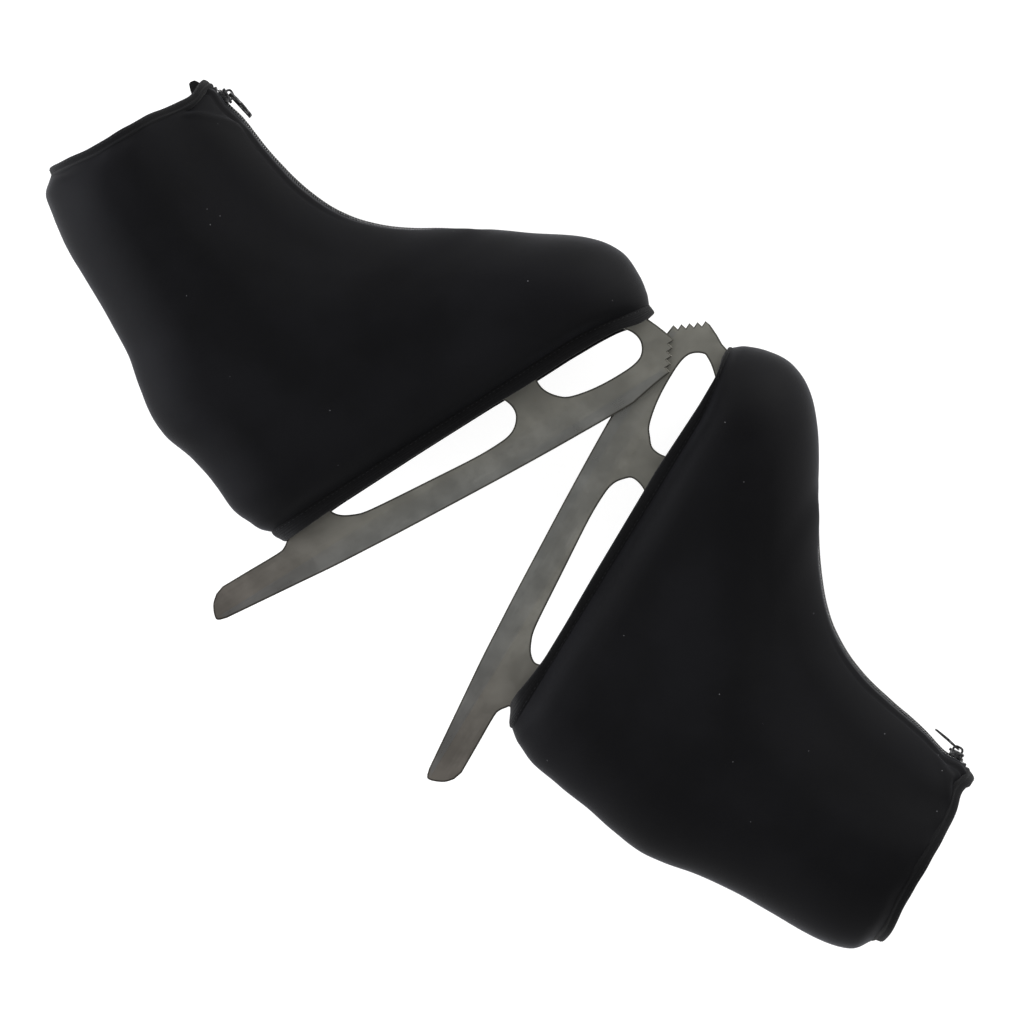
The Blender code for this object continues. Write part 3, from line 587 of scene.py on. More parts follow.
def make_leather(name, dark, light, roughness, pebbled=True):
    """Pebbled leather, or a plain foam with the same clouds of tone."""
    m = Material(name)
    place = m.place()
    pebble = m.ramp(m.voronoi(place, 0.55, "DISTANCE_TO_EDGE"), 0.0, 0.25)
    cloud = m.noise(place, 0.03, 4, 0.6)
    base = m.mix(m.ramp(cloud, 0.3, 0.7), dark, light)
    height = pebble if pebbled else m.noise(place, 1.2, 4, 0.7)
    m.set(colour=base, roughness=m.ramp(cloud, 0.3, 0.7, roughness - 0.06, roughness + 0.06), specular=0.35,
          normal=m.bump(height, 0.12, m.bump(cloud, 0.8, strength=0.2), strength=0.6))


def make_stacked_sole():
    """Lacquered stacked leather: layers about 6 mm thick seen at the edges."""
    m = Material("boot_sole")
    place = m.place()
    layers = m.wave(m.weave(), 0.055, "Y", 0.6)
    cloud = m.noise(place, 0.12, 4, 0.6)
    base = m.mix(m.ramp(cloud, 0.3, 0.7), (0.010, 0.008, 0.007), (0.022, 0.017, 0.014))
    base = m.mix(m.times(m.ramp(layers, 0.8, 1.0), 0.5), base, (0.004, 0.003, 0.003))
    m.set(colour=base, roughness=0.38, specular=0.4, coat=0.3, coat_roughness=0.25,
          normal=m.bump(layers, 0.1, m.bump(m.noise(place, 0.9), 0.05), strength=0.5))


def make_floor():
    m = Material("floor_paper")
    grain = m.noise(m.place(), 0.7, 3, 0.6)
    m.set(colour=m.mix(grain, (0.30, 0.30, 0.30), (0.33, 0.33, 0.33)), roughness=0.95, specular=0.0,
          emission_color=(1, 1, 1), emission_strength=0.88)


make_neoprene()
make_weave("hem_fabric", (0.0030, 0.0030, 0.0034), (0.0070, 0.0070, 0.0078), 0.5, 0.85, 0.06, 0.08)
make_weave("zip_tape", (0.0030, 0.0030, 0.0033), (0.0080, 0.0080, 0.0086), 0.6, 0.8, 0.08, 0.08)
make_weave("boot_lining", (0.030, 0.030, 0.031), (0.055, 0.054, 0.053), 0.7, 0.85)
make_thread()
make_worn("zip_coil", (0.35, 4, 0.6), ((0.012, 0.012, 0.013), (0.030, 0.030, 0.032)), (0.35, 0.75),
          (0.3, 0.7, 0.32, 0.5), 3.0, specular=0.4)
make_steel("blade_steel", (0.312, 0.306, 0.272), (0.285, 0.266, 0.220), 0.42, 1.4, edge=True)
make_steel("plate_steel", (0.33, 0.33, 0.31), (0.29, 0.28, 0.25), 0.40, 0.8)
make_worn("zip_metal", (0.6, 4, 0.65), ((0.055, 0.055, 0.057), (0.24, 0.24, 0.245)), (0.4, 0.75),
          (0.3, 0.8, 0.24, 0.42), 2.5, metallic=1.0)
make_leather("boot_leather", (0.012, 0.012, 0.012), (0.020, 0.020, 0.021), 0.42)
make_leather("insole_foam", (0.045, 0.045, 0.050), (0.070, 0.070, 0.075), 0.9, pebbled=False)
make_stacked_sole()
make_floor()


# ---- the cover ----
CREASES = {  # where the boot cuff's corner shows through the fabric
    "right": ((80, 226), (88, 217.5), (95, 208), (99, 201), (103, 190)),
    "left": ((76, 229), (86, 225.5), (94, 220.5), (98, 213), (101, 203)),
}


def polyline_side(x, z, line):
    """Signed distance to a polyline in the (x, z) plane, positive on its toe side, and the share along it."""
    corners = np.array(line, float)
    run = run_along(corners)
    found = []
    for a, ahead, done, length in zip(corners, unit(np.diff(corners, axis=0)), run, np.diff(run)):
        from_a = np.stack([x, z], axis=-1) - a
        t = np.clip(from_a @ ahead, 0, length)
        away = from_a - t[..., None] * ahead
        side = np.sign(away[..., 1] * ahead[0] - away[..., 0] * ahead[1] + 1e-9)
        found.append((np.linalg.norm(away, axis=-1), side, (done + t) / run[-1]))
    distance, side, along = np.moveaxis(np.array(found), 1, 0)
    near = np.argmin(distance, axis=0)[None]
    return tuple(np.take_along_axis(values, near, axis=0)[0] for values in (distance * side, along))


def relief(skate, x, q, z, s, edge):
    """How far the fabric stands off the loft, in millimetres: gentle sag, the cuff under it, seam dips and the fold
    beside the zip. edge is the distance along the surface to the zip slot or the toe seam."""
    shift = skate.arc_shift
    wobble = 2.0 if skate.hand > 0 else 0.0
    out = 0.32 * np.sin(0.043 * x + 0.031 * z + wobble) * np.sin(0.028 * z - 0.02 * x + 1.3 + wobble)
    out = out + 0.16 * np.sin(0.11 * x + wobble) * np.sin(0.09 * z + 0.06 * q)
    beside, along = polyline_side(x - shift, z, CREASES[skate.name])
    outer = smooth(np.abs(q), 4, 16)
    fade = smooth(along, 0.0, 0.06) * (1 - smooth(along, 0.72, 1.0))
    sunk = smooth(beside, -1.0, 3.2) * (1 - smooth(beside, 9, 20))
    out = out + outer * fade * (0.75 * hump(beside, 2.4) - 1.5 * sunk)
    zipped = smooth(s, THROAT - 0.2, THROAT + 0.5)
    line = (0.45 * hump(edge, 1.3, 8.6) - 0.65 * hump(edge, 1.2, 11.6)) * smooth(z, 118, 150)
    beside_zip = line - 1.9 * hump(edge, 4.0) - 0.3 * hump(edge, 0.8, 5.2)
    out = out * smooth(s, 0.0, 0.8) + zipped * beside_zip - (1 - zipped) * 0.7 * hump(edge, 0.9)
    gather = smooth(s, COLLAR - 0.9, COLLAR) * 0.35
    return out + gather * np.sin(0.36 * x + 0.8 * np.sin(0.07 * x)) * smooth(np.abs(q), 2, 10)


PANEL_COLS = 96
PANEL_ROWS = 150


def panel_stations():
    """Closer together where the fabric turns under the sole and round the collar."""
    key = np.array([0, 0.6, 1.4, 3, 6, 9, 11.6, COLLAR])
    pace = np.array([0, 14, 28, 50, 82, 112, 136, PANEL_ROWS - 1])
    return np.interp(np.arange(PANEL_ROWS), pace, key)


def edge_shares(count, crowd=0.35):
    """Shares from 0 to 1 that are closer together near both ends."""
    t = np.linspace(0, 1, count)
    return t + crowd * np.sin(2 * math.pi * t) / (-2 * math.pi)


def slot_edge(s):
    return GAP / 2 + (SLOT - GAP / 2) * float(smooth(s, THROAT - 0.15, THROAT + 0.15))


def skin(skate, stations, share, outer, depth):
    """The cover's surface with its relief, a depth inside."""
    grid, normal = grid_of(skate, stations, share, outer, GAP / 2, slot_edge)
    run = run_along(grid)
    stand = relief(skate, *np.moveaxis(grid, 2, 0), np.asarray(stations)[:, None], run[:, -1:] - run)
    return offset(skate, grid, normal, depth, stand - 0.35 * hump(run, 0.9))


def build_panels(skate):
    stations = panel_stations()
    share = edge_shares(PANEL_COLS)
    zipped = smooth(stations, THROAT - 0.1, THROAT + 0.4)
    for side, sign in SIDES:
        outside, inside = (skin(skate, stations, share, sign > 0, depth) for depth in (0.0, PANEL))
        rim = ((0.14, 0.55), (0.5, 0.85), (0.86, 0.55))
        coords = fabric_coords(outside)
        front, back = (np.repeat(coords[:, at:at + 1], len(rim), axis=1) for at in (PANEL_COLS - 1, 0))
        loops = sheet_loops(outside, inside, rim, sign * zipped)
        add_piece(skate, f"cover_{side}", "neoprene", loops, sheet_faces(loops, len(rim)), f"cover_{side}_panel",
                  fabric=np.concatenate([coords, front, coords[:, ::-1], back], axis=1), sharp=50)


def ring_at(skate, s, share, depth, q_front, open_front=True, step=0.04):
    """Both sides of section s as one run: from the front of the outer side round the back to the front of the
    inner side, or from back to back over the front."""
    sides = []
    for outer in (True, False):
        grid, normal = grid_of(skate, [s - step, s, s + step], share, outer, 0.0, lambda s: q_front)
        sides.append(offset(skate, grid[1], normal[1], depth))
    outer_row, inner_row = sides
    if open_front:
        return np.concatenate([outer_row[::-1], inner_row[1:]])
    return np.concatenate([outer_row, inner_row[::-1][1:]])


ROUND = np.linspace(0, 2 * math.pi, 6, endpoint=False)  # the corners of a thread's or wire's section


def add_thread(verts, faces, rings):
    """Adds a short piece of thread; each ring is its centre, its direction, the direction out of the fabric and its
    radius."""
    base = len(verts)
    for centre, forward, out, radius in rings:
        wide = unit(np.cross(forward, out))
        verts += [centre + radius * (math.cos(a) * wide + math.sin(a) * out) for a in ROUND]
    faces += [tuple(v + base for v in face) for face in tube_faces(len(rings), len(ROUND))]


def stitches(skate, label, path, normals, pitch=2.8, length=2.0, radius=0.18, sink=0.12):
    """Lock stitches along a path of (x, q, z) points: small capsules half sunk into the fabric."""
    run = run_along(path)
    verts, faces = [], []
    for i in range(int(run[-1] / pitch)):
        rings = []
        for share, size in ((-0.5, 0.15), (-0.36, 0.85), (0.0, 1.0), (0.36, 0.85), (0.5, 0.15)):
            at = (i + 0.5) * pitch + share * length
            forward = unit(read(path, run, at + 0.3) - read(path, run, at - 0.3))
            out = unit(read(normals, run, at))
            rise = radius * (1.0 - 1.4 * (2 * abs(share)) ** 2) - sink
            rings.append((read(path, run, at) + out * rise, forward, out, radius * size))
        add_thread(verts, faces, rings)
    add_piece(skate, label, "thread", verts, faces, sharp=60)


def zigzag(skate, label, path, normals, pitch=2.4, width=4.2, radius=0.17):
    """A flat zigzag seam across two butted edges."""
    run = run_along(path)
    count = int(run[-1] / pitch) - 1
    at = (np.arange(count) + 0.5) * pitch
    centres, outs = read(path, run, at), unit(read(normals, run, at))
    wide = unit(np.cross(unit(np.gradient(centres, axis=0)), outs))
    sign = (-1.0) ** np.arange(count)[:, None]
    corners = centres + sign * wide * width / 2 - outs * (width / 2) ** 2 / 60
    verts, faces = [], []
    for a, b, out_a, out_b in zip(corners, corners[1:], outs, outs[1:]):
        rings = []
        for share, size, lift in ((0, 0.4, -0.1), (0.12, 0.9, 0.05), (0.5, 1, 0.12), (0.88, 0.9, 0.05), (1, 0.4, -0.1)):
            out = unit(out_a * (1 - share) + out_b * share)
            rings.append((a * (1 - share) + b * share + out * lift, unit(b - a), out, radius * size))
        add_thread(verts, faces, rings)
    add_piece(skate, label, "thread", verts, faces, sharp=60)


def build_collar_hem(skate):
    """The folded binding along the top edge, padded a little, open at the front where the zip ends."""
    # (station, depth) round the fold: up the outside, over the top and down the inside
    profile = ((12.80, 1.4), (12.86, 0.6), (12.95, 0.0), (13.05, -0.22), (13.16, -0.1), (13.26, 0.12), (13.36, -0.1),
               (13.5, -0.3), (13.7, -0.35), (13.88, -0.15), (13.98, 0.5), (14.0, 1.3), (13.97, 2.2), (13.85, 2.8),
               (13.6, 3.1), (13.3, 3.2), (13.0, 3.1), (12.85, 2.4))
    stitched, behind = 8, 14  # the profile's points at the stitching and inside it
    share = edge_shares(70, 0.2)
    rings = []
    for s, depth in profile:
        row = ring_at(skate, s, share, depth, SLOT)
        ripple = 0.12 * np.sin(0.42 * row[:, 0] + 0.9 * np.sin(0.05 * row[:, 0]))
        row[:, 2] += ripple * smooth(s, 13.2, 14.0)
        rings.append(row)
    loops = np.stack(rings, axis=1)
    add_piece(skate, "collar_binding", "hem_fabric", loops, sheet_faces(loops), "collar_hem",
              fabric=band_coords(loops, stitched, 0.9), sharp=55)
    path = loops[:, stitched]
    stitches(skate, "collar_stitching", path, unit(path - loops[:, behind]))


def hem_loop(skate, count=120):
    """The sole opening's edge as a loop, with its inward directions."""
    top = half_ring(skate, 0, edge_shares(count, 0.5))
    loop = np.concatenate([top, (top[1:-1] * (1, -1, 1))[::-1]])
    along = np.roll(loop, -1, axis=0) - np.roll(loop, 1, axis=0)
    inward = np.stack([along[:, 1], -along[:, 0], 0 * along[:, 0]], axis=1)
    for _ in range(3):
        inward = (np.roll(inward, 1, axis=0) + inward + np.roll(inward, -1, axis=0)) / 3
    return loop, unit(inward)


def build_sole_hem(skate):
    """The folded and stitched band round the opening that the blade comes out of."""
    loop, inward = hem_loop(skate)
    # (inset, share of the way down from the panel's edge to the hem's lower edge)
    profile = ((1.3, -0.12), (0.6, -0.05), (0.28, 0.02), (0.12, 0.08), (0.30, 0.15), (0.10, 0.22), (0.02, 0.42),
               (0.05, 0.72), (0.20, 0.88), (0.7, 0.965), (1.5, 1.0), (2.3, 0.98), (2.9, 0.9), (3.15, 0.7),
               (3.15, 0.35), (2.9, 0.08), (2.4, -0.05), (1.8, -0.12))
    fabric = FABRIC[skate.name]
    x, z = loop[:, 0], loop[:, 2]
    fall = along_table(fabric["hem"], x) - z
    wave = 0.22 * np.sin(0.13 * x + 1.0) + 0.12 * np.sin(0.31 * x)
    reach = fabric["tuck"] * (1 - smooth(x, 2, 16)) + fabric["toe"] * smooth(x, 218, 234)
    shift = skate.drape(loop)[:, 0] - x
    rings = []
    for inset, share in profile:
        down = float(smooth(share, 0.15, 1.0))
        ring = loop + inward * (inset + (wave + reach) * down)[:, None]
        ring += np.stack([shift * (1 - down), 0 * x, share * fall], axis=1)
        rings.append(ring)
    loops = np.stack(rings, axis=1)
    add_piece(skate, "sole_binding", "hem_fabric", loops, tube_faces(len(loops), len(profile), False, True),
              "sole_hem", fabric=band_coords(loops, 3, 0.8), sharp=55)
    stitches(skate, "sole_stitching", np.concatenate([loops[:, 4], loops[:1, 4]]),
             -np.concatenate([inward, inward[:1]]))


def build_seams(skate):
    """Zigzag seams down the back and from the foot of the zip over the toe."""
    for label, stations, column, sign in (("back_seam", np.linspace(0.35, 12.8, 160), 0, 1),
                                          ("toe_seam", np.linspace(0.4, 5.5, 90), -1, -1)):
        path = skin(skate, stations, edge_shares(PANEL_COLS), True, 0.0)[:, column].copy()
        if sign < 0:
            path = path[1:]
        path[:, 1] = 0
        # the seam's outward direction, square to the seam in the middle plane
        forward = np.gradient(path, axis=0)
        normals = sign * unit(np.stack([-forward[:, 2], 0 * forward[:, 0], forward[:, 0]], axis=1))
        zigzag(skate, label, path - normals * 0.02, normals)


# ---- the zip ----
def rounded(points, radius, steps=4):
    """An outline with each corner rounded."""
    out = []
    points = np.asarray(points, float)
    for i, p in enumerate(points):
        a, b = points[i - 1], points[(i + 1) % len(points)]
        r = min(radius, 0.45 * np.linalg.norm(a - p), 0.45 * np.linalg.norm(b - p))
        start, end = p + r * unit(a - p), p + r * unit(b - p)
        for t in np.linspace(0, 1, steps + 1):
            out.append((1 - t) ** 2 * start + 2 * t * (1 - t) * p + t ** 2 * end)
    return np.array(out)


def pillow(outline, half, soft, flat):
    """(level, point) rings of a block whose ends are drawn in: six copies of an outline between -half and half. soft is
    the ends' size, and flat holds the next level, its size and the level from which the outline is full."""
    middle = outline.mean(axis=0)
    levels = ((-half, soft), (-flat[0], flat[1]), (-flat[2], 1.0), (flat[2], 1.0), (flat[0], flat[1]), (half, soft))
    return [(level, *p) for level, size in levels for p in middle + (outline - middle) * size]


def build_tapes(skate):
    """Woven tape under each panel's edge, with a corded inner edge that the coil is sewn to."""
    stations = np.linspace(6.05, 13.55, 120)
    columns = [200, 197, 194, 191, 188, 185, 181]  # from the slot outwards, of 201 across the side
    for side, sign in SIDES:
        grid, normal = grid_of(skate, stations, np.linspace(0, 1, 201), sign > 0, 0.0, lambda s: 0.5)
        top, base = (skate.drape((grid - normal * depth)[:, columns]) for depth in TAPE_DEPTHS)
        for rows in (top, base):
            rows[:, 0, 1] = grid[:, columns[0], 1]
        top[:, 1] += (normal * 0.25)[:, columns[1]]
        cap = [top[:, 0] * (1 - p) + base[:, 0] * p for p in (0.3, 0.7)]
        loops = np.concatenate([top[:, ::-1], np.stack(cap, axis=1), base], axis=1)
        coords = np.zeros(loops.shape)
        coords[..., 1] = np.linspace(0, 190, len(stations))[:, None]
        coords[..., 0] = [*np.linspace(0, 9, 7), 9.2, 9.4, *np.linspace(9.6, 18, 7)]
        add_piece(skate, f"tape_{side}", "zip_tape", loops, sheet_faces(loops), f"zip_tape_{side}", fabric=coords)


def build_tape_end(skate):
    """The zip tape's tail, folded up and standing a little above the collar's front corner."""
    outline = rounded(TAIL_OUTLINE[skate.name], 1.2)
    middle = outline.mean(axis=0)
    coords, verts = [], []
    for side, x, z in pillow(outline, 0.8, 0.86, (0.6, 0.97, 0.2)):
        q = TAIL_Q + side + 0.05 * (z - middle[1]) ** 2 / 3
        verts.append((x, q, z))
        coords.append((x, z, q))
    add_piece(skate, "tape_end", "zip_tape", verts, tube_faces(6, len(outline)), fabric=coords, sharp=50)


def build_coils(skate):
    """Each coil is one nylon wire wound along the tape's edge."""
    start, end = ZIP_TOP + 1.3, ZIP_BOTTOM - 1.3
    turns = int(math.radians(end - start) * ARC_R / COIL_PITCH)
    share = np.linspace(0, 1, turns * 12 + 1)
    angle = np.radians(start + (end - start) * share)
    tangent = np.stack([-np.sin(angle), 0 * angle, np.cos(angle)], axis=1)
    for side, sign in SIDES:
        turn = 2 * math.pi * turns * share + (0.0 if sign > 0 else math.pi)
        reach = 1.52 + 1.0 * np.cos(turn)
        radial = ARC_R + 1.5 + 0.72 * np.sin(turn)
        centre = skate.drape(np.stack([ARC_X + skate.arc_shift + radial * np.cos(angle), sign * reach,
                                       ARC_Z + radial * np.sin(angle)], axis=1))
        forward = unit(np.gradient(centre, axis=0))
        wide = unit(np.cross(forward, tangent))
        deep = np.cross(forward, wide)
        rings = np.stack([centre + WIRE * (math.cos(a) * wide + math.sin(a) * deep) for a in ROUND], axis=1)
        add_piece(skate, f"coil_{side}", "zip_coil", rings, tube_faces(len(share), len(ROUND)), f"zip_coil_{side}",
                  sharp=70)


def build_stops(skate):
    """Small clips pinched over the coils' ends: one on each side at the top and one across both at the foot."""
    clips = (("zip_top_stop_outer", ZIP_TOP + 0.85, 2.3, 0.5, 2.9),
             ("zip_top_stop_inner", ZIP_TOP + 0.85, 2.3, -2.9, -0.5),
             ("zip_bottom_stop", ZIP_BOTTOM - 0.55, 0.9, -2.9, 2.9))
    for node, angle, sunk, low, high in clips:
        section = rounded([(low, sunk), (high, sunk), (high, sunk + STOP_TALL), (low, sunk + STOP_TALL)], 0.7, 3)
        verts = []
        for along, q, depth in pillow(section, 1.15, 0.75, (0.95, 0.96, 0.6)):
            x, z = skate.arc(angle + math.degrees(along / ARC_R), depth)
            verts.append((x, q, z))
        add_piece(skate, f"{node}_clip", "zip_metal", skate.drape(verts), tube_faces(6, len(section)), node)


def on_slider(skate, along, q, depth, tilt=0.0):
    """A point down the zip from the slider's middle; tilt turns it about the pull's pivot, in degrees."""
    a = math.radians(SLIDER_REST)
    x, z = skate.arc(SLIDER_REST, PULL_PIVOT)
    t = math.radians(tilt)
    lift = depth - PULL_PIVOT
    along, lift = along * math.cos(t) + lift * math.sin(t), lift * math.cos(t) - along * math.sin(t)
    return x - along * math.sin(a) + lift * math.cos(a), q, z + along * math.cos(a) + lift * math.sin(a)


def slab(skate, outline, low, high, bevel, dome=0.0):
    """Verts and faces of a flat plate with bevelled edges from an (along, q) outline between two depths. Depth grows
    inwards, so low is the upper face, which may be domed."""
    centre = outline.mean(axis=0)
    edge = np.roll(outline, -1, axis=0) - np.roll(outline, 1, axis=0)
    normal = unit(np.stack([edge[:, 1], -edge[:, 0]], axis=1))
    if np.sum((outline - centre) * normal) < 0:
        normal = -normal
    count = len(outline)
    levels = ((low, bevel), (low + bevel * 0.3, bevel * 0.3), (low + bevel, 0), (high - bevel, 0),
              (high - bevel * 0.3, bevel * 0.3), (high, bevel))
    verts = [on_slider(skate, *p, depth) for depth, inset in levels for p in outline - normal * inset]
    faces = tube_faces(6, count, caps=False)
    for first, depth in ((0, low - dome), (5 * count, high)):
        verts.append(on_slider(skate, *centre, depth))
        faces += [(first + j, first + (j + 1) % count, len(verts) - 1) for j in range(count)]
    return verts, faces


def bridge(skate, half=2.6, low=-1.0, high=-3.95):
    """The strap that the pull hangs from: a flat strip of rounded section, up over the slider and down again."""
    turn = np.linspace(0, math.pi, 14)
    path = np.stack([-half * np.copysign(np.abs(np.cos(turn)) ** 0.6, np.cos(turn)),
                     low + (high - low) * np.abs(np.sin(turn)) ** 0.55], axis=1)
    forward = unit(np.gradient(path, axis=0))
    section = rounded([(-1.05, -0.62), (1.05, -0.62), (1.05, 0.62), (-1.05, 0.62)], 0.3, 2)
    verts = [on_slider(skate, a - ahead[1] * lift, q, depth + ahead[0] * lift)
             for (a, depth), ahead in zip(path, forward) for q, lift in section]
    return verts, tube_faces(len(path), len(section))


def build_slider(skate):
    top, bottom = (
        [(-4.5, -back), (-1.5, -back), (shoulder, -wide), (nose, -tip), (nose, tip), (shoulder, wide), (-1.5, back),
         (-4.5, back), (-4.2, 1.4), (-3.3, 0), (-4.2, -1.4)]
        for back, shoulder, wide, nose, tip in ((3.9, 3.2, 3.2, 4.5, 1.9), (3.5, 2.8, 3.0, 3.7, 1.7)))
    parts = [slab(skate, rounded(top, 1.0), -1.6, -0.1, 0.3, dome=0.25),
             slab(skate, rounded(bottom, 1.0), 5.6, 6.5, 0.25)]
    for sign in (1, -1):
        flange = np.array([(-3.0, 3.05), (2.4, 2.75), (3.4, 2.3), (3.4, 3.0), (2.4, 3.35), (-3.0, 3.75)])
        parts.append(slab(skate, rounded(flange * (1, sign), 0.3, 2), -0.5, 2.3, 0.12))
    post = rounded([(-4.1, -0.27), (-1.9, -0.2), (-1.9, 0.2), (-4.1, 0.27)], 0.15, 2)
    parts += [slab(skate, post, -0.5, 6.0, 0.05), bridge(skate)]
    verts, faces = [], []
    for part_verts, part_faces in parts:
        faces += [tuple(v + len(verts) for v in face) for face in part_faces]
        verts += part_verts
    add_piece(skate, "slider", "zip_metal", verts, faces, "zip_slider", "slider", sharp=38)


def build_pull(skate):
    """A stamped tab, waisted behind the cross-bar, with one long hole and a rolled rim. It hangs loosely in the
    bridge, turned about its own length."""
    far = PULL_LONG - 2.1
    lines = [rounded(points, 1.1, 5) for points in (
        [(-0.55, -2.9), (5.0, -2.9), (6.2, -2.3), (7.4, -2.9), (PULL_LONG, -2.7), (PULL_LONG, 2.7), (7.4, 2.9),
         (6.2, 2.3), (5.0, 2.9), (-0.55, 2.9)],
        [(0.55, -1.45), (4.3, -1.45), (4.3, 1.45), (0.55, 1.45)],
        [(7.4, -1.45), (far, -1.35), (far, 1.35), (7.4, 1.45)])]
    twist = math.radians(TWIST[skate.name])
    cos_twist, sin_twist = math.cos(twist), math.sin(twist)
    verts = []
    for rise in (-PULL_THICK / 2, PULL_THICK / 2):
        for a, q in np.concatenate(lines):
            bow = -0.5 * math.sin(math.pi * max(0.0, a) / PULL_LONG)
            verts.append(on_slider(skate, a, q * cos_twist + rise * sin_twist,
                                   PULL_PIVOT + rise * cos_twist - q * sin_twist + bow, PULL_LIFT))
    count = len(verts) // 2
    flat = tessellate_polygon([[Vector((*p, 0)) for p in line] for line in lines])
    faces = [tuple(t) for t in flat] + [tuple(v + count for v in reversed(t)) for t in flat]
    first = 0
    for line in lines:
        for i in range(len(line)):
            v, w = first + i, first + (i + 1) % len(line)
            faces.append((v, w, w + count, v + count))
        first += len(line)
    soften(add_piece(skate, "pull", "zip_metal", verts, faces, "zip_pull", "pull", sharp=35), 0.22, 50)


# ---- the boot ----
def sole(x):
    return SOLE_AT_HEEL - SOLE_DROP * x


def sole_under_boot(x):
    return sole(x) + HEEL_RISE * (1 - smooth(x, 62, 118))


def throat_edge(s):
    return GAP / 2 + (THROAT_HALF - GAP / 2) * float(smooth(s, THROAT - 1.1, THROAT - 0.3))


def edge_stations(skate, share, rise):
    """The station at which each column of the boot stands a rise above the sole, found by halving."""
    found = []
    for j in range(len(share)):
        low, high = 0.2, 6.0
        for _ in range(14):
            s = (low + high) / 2
            x, _, z = half_ring(skate, s, share, GAP / 2, throat_edge(s))[j]
            low, high = (s, high) if z < sole_under_boot(x) + rise else (low, s)
        found.append(low)
    return np.array(found)


def build_boot(skate):
    """Leather quarters with a rolled cuff and a fabric lining, over the outsole."""
    share = edge_shares(41, 0.3)
    lowest = edge_stations(skate, share, SOLE_THICK + 1.6)
    climb = np.concatenate([np.linspace(0, 0.93, 44), np.linspace(0.94, 1.0, 10)])
    rows = [lowest + (BOOT_TOP - lowest) * c for c in climb]
    roll = smooth(climb, 0.955, 1.0)[:, None]
    pad = 0.9 * hump(climb, 0.012, 0.975)[:, None]
    depths = BOOT_DEPTH + 1.3 * roll - 0.5 * pad, BOOT_DEPTH + LEATHER - 1.3 * roll + 0.4 * pad
    rim = ((0.25, 0.5), (0.75, 0.5))
    for side, sign in SIDES:
        grid, normal = grid_of(skate, rows, share, sign > 0, GAP / 2, throat_edge)
        skins = [offset(skate, grid, normal, depth) for depth in depths]
        loops = sheet_loops(*skins, rim, sign * smooth(climb, 0.35, 0.5))
        rings, count = loops.shape[:2]
        faces = sheet_faces(loops, len(rim))
        inner = len(share) + 1  # the first column of faces on the inside
        lining = [int(i < (rings - 1) * count and inner <= i % count < inner + len(share)) for i in range(len(faces))]
        add_piece(skate, f"quarter_{side}", "boot_leather", loops, faces, f"boot_{side}_quarter",
                  fabric=fabric_coords(loops), sharp=50, lining=lining)


def build_tongue(skate):
    """A padded tongue behind the throat, closed softly at its top."""
    stations = np.concatenate([np.linspace(5.6, 13.0, 60), (13.08, 13.14, 13.18, 13.2)])
    pinches = np.concatenate([np.zeros(60), (0.25, 0.6, 1.0, 1.45)])
    upper = BOOT_DEPTH + LEATHER + TONGUE_GAP
    share = np.linspace(0.76, 1.0, 15)
    loops = []
    for s, pinch in zip(stations, pinches):
        outer, inner = (ring_at(skate, s, share, depth, 0.0, open_front=False)
                        for depth in (upper + pinch, upper + TONGUE_THICK - pinch))
        puff = 0.35 + 0.65 * (1 - np.abs(np.linspace(-1, 1, len(outer))) ** 6)[:, None]
        middle = (outer + inner) / 2
        loops.append(np.concatenate([middle + (outer - middle) * puff, (middle + (inner - middle) * puff)[::-1]]))
    loops = np.array(loops)
    add_piece(skate, "tongue", "boot_leather", loops, sheet_faces(loops), "boot_tongue",
              fabric=fabric_coords(loops), sharp=60)


# ---- the blade ----
TAIL = ((-38, -5), (-20, -5.4), (-3, -5.8), (1.5, -4.8), (4.6, -2.6), (6.0, -1.2), (6.4, 4), (5.4, 12))
HEEL_POST_FRONT = ((38, 8), (34.6, 2), (33.5, -1.5), (34.6, -4.2), (37.4, -7), (42, -9.6), (48, -11.8))
RUNNER_TOP = ((60, -13.5), (90, -16.6), (115, -19), (130, -19.3), (137, -18.4), (141.6, -16), (145, -12))
MIDDLE_POST_BACK = ((146, -8), (145.4, -4), (143.6, 0), (139.5, 6))
MIDDLE_POST_FRONT = ((167.5, 6), (165.4, 0), (165, -5), (166.4, -9.6), (170, -14.6), (175, -18.3))
FRONT_BAY = ((185, -21), (195, -22.3), (205, -22.7), (213, -22.4), (218.6, -20.8), (222, -17.4))
TOE_POST_BACK = ((223.5, -13), (222.6, -8), (219.4, -3), (214, 3))
TOE_POST_FRONT = ((231.0, 2), (233.0, -5.0), (235.7, -11.5), (238.5, -19.5))
PICK_TIP, PICK_STEP, PICK_NOTCH, PICK_TEETH = (239.0, -22.8), (-2.72, -3.38), (-3.4, -0.1), 5
GROUND_EDGE = ((223.4, -36.8), (215, -37.9), (205, -39.5), (200, -39.9), (180, -39.1), (150, -37.7), (120, -35.9),
               (90, -33.8), (60, -31.6), (40, -29.9), (20, -28.1), (0, -25.8), (-20, -23.5), (-45, -20.6))
TAIL_END = ((-48.6, -19.6), (-50.3, -18.2), (-49.6, -14.6), (-47, -10), (-43, -6.6))
PLATE = 3.0


def curve(points, per=4):
    """A smooth run through the points."""
    rows = np.asarray(points, float)
    return [*(tuple(station(rows, i / per)) for i in range(per * (len(rows) - 1))), tuple(rows[-1])]


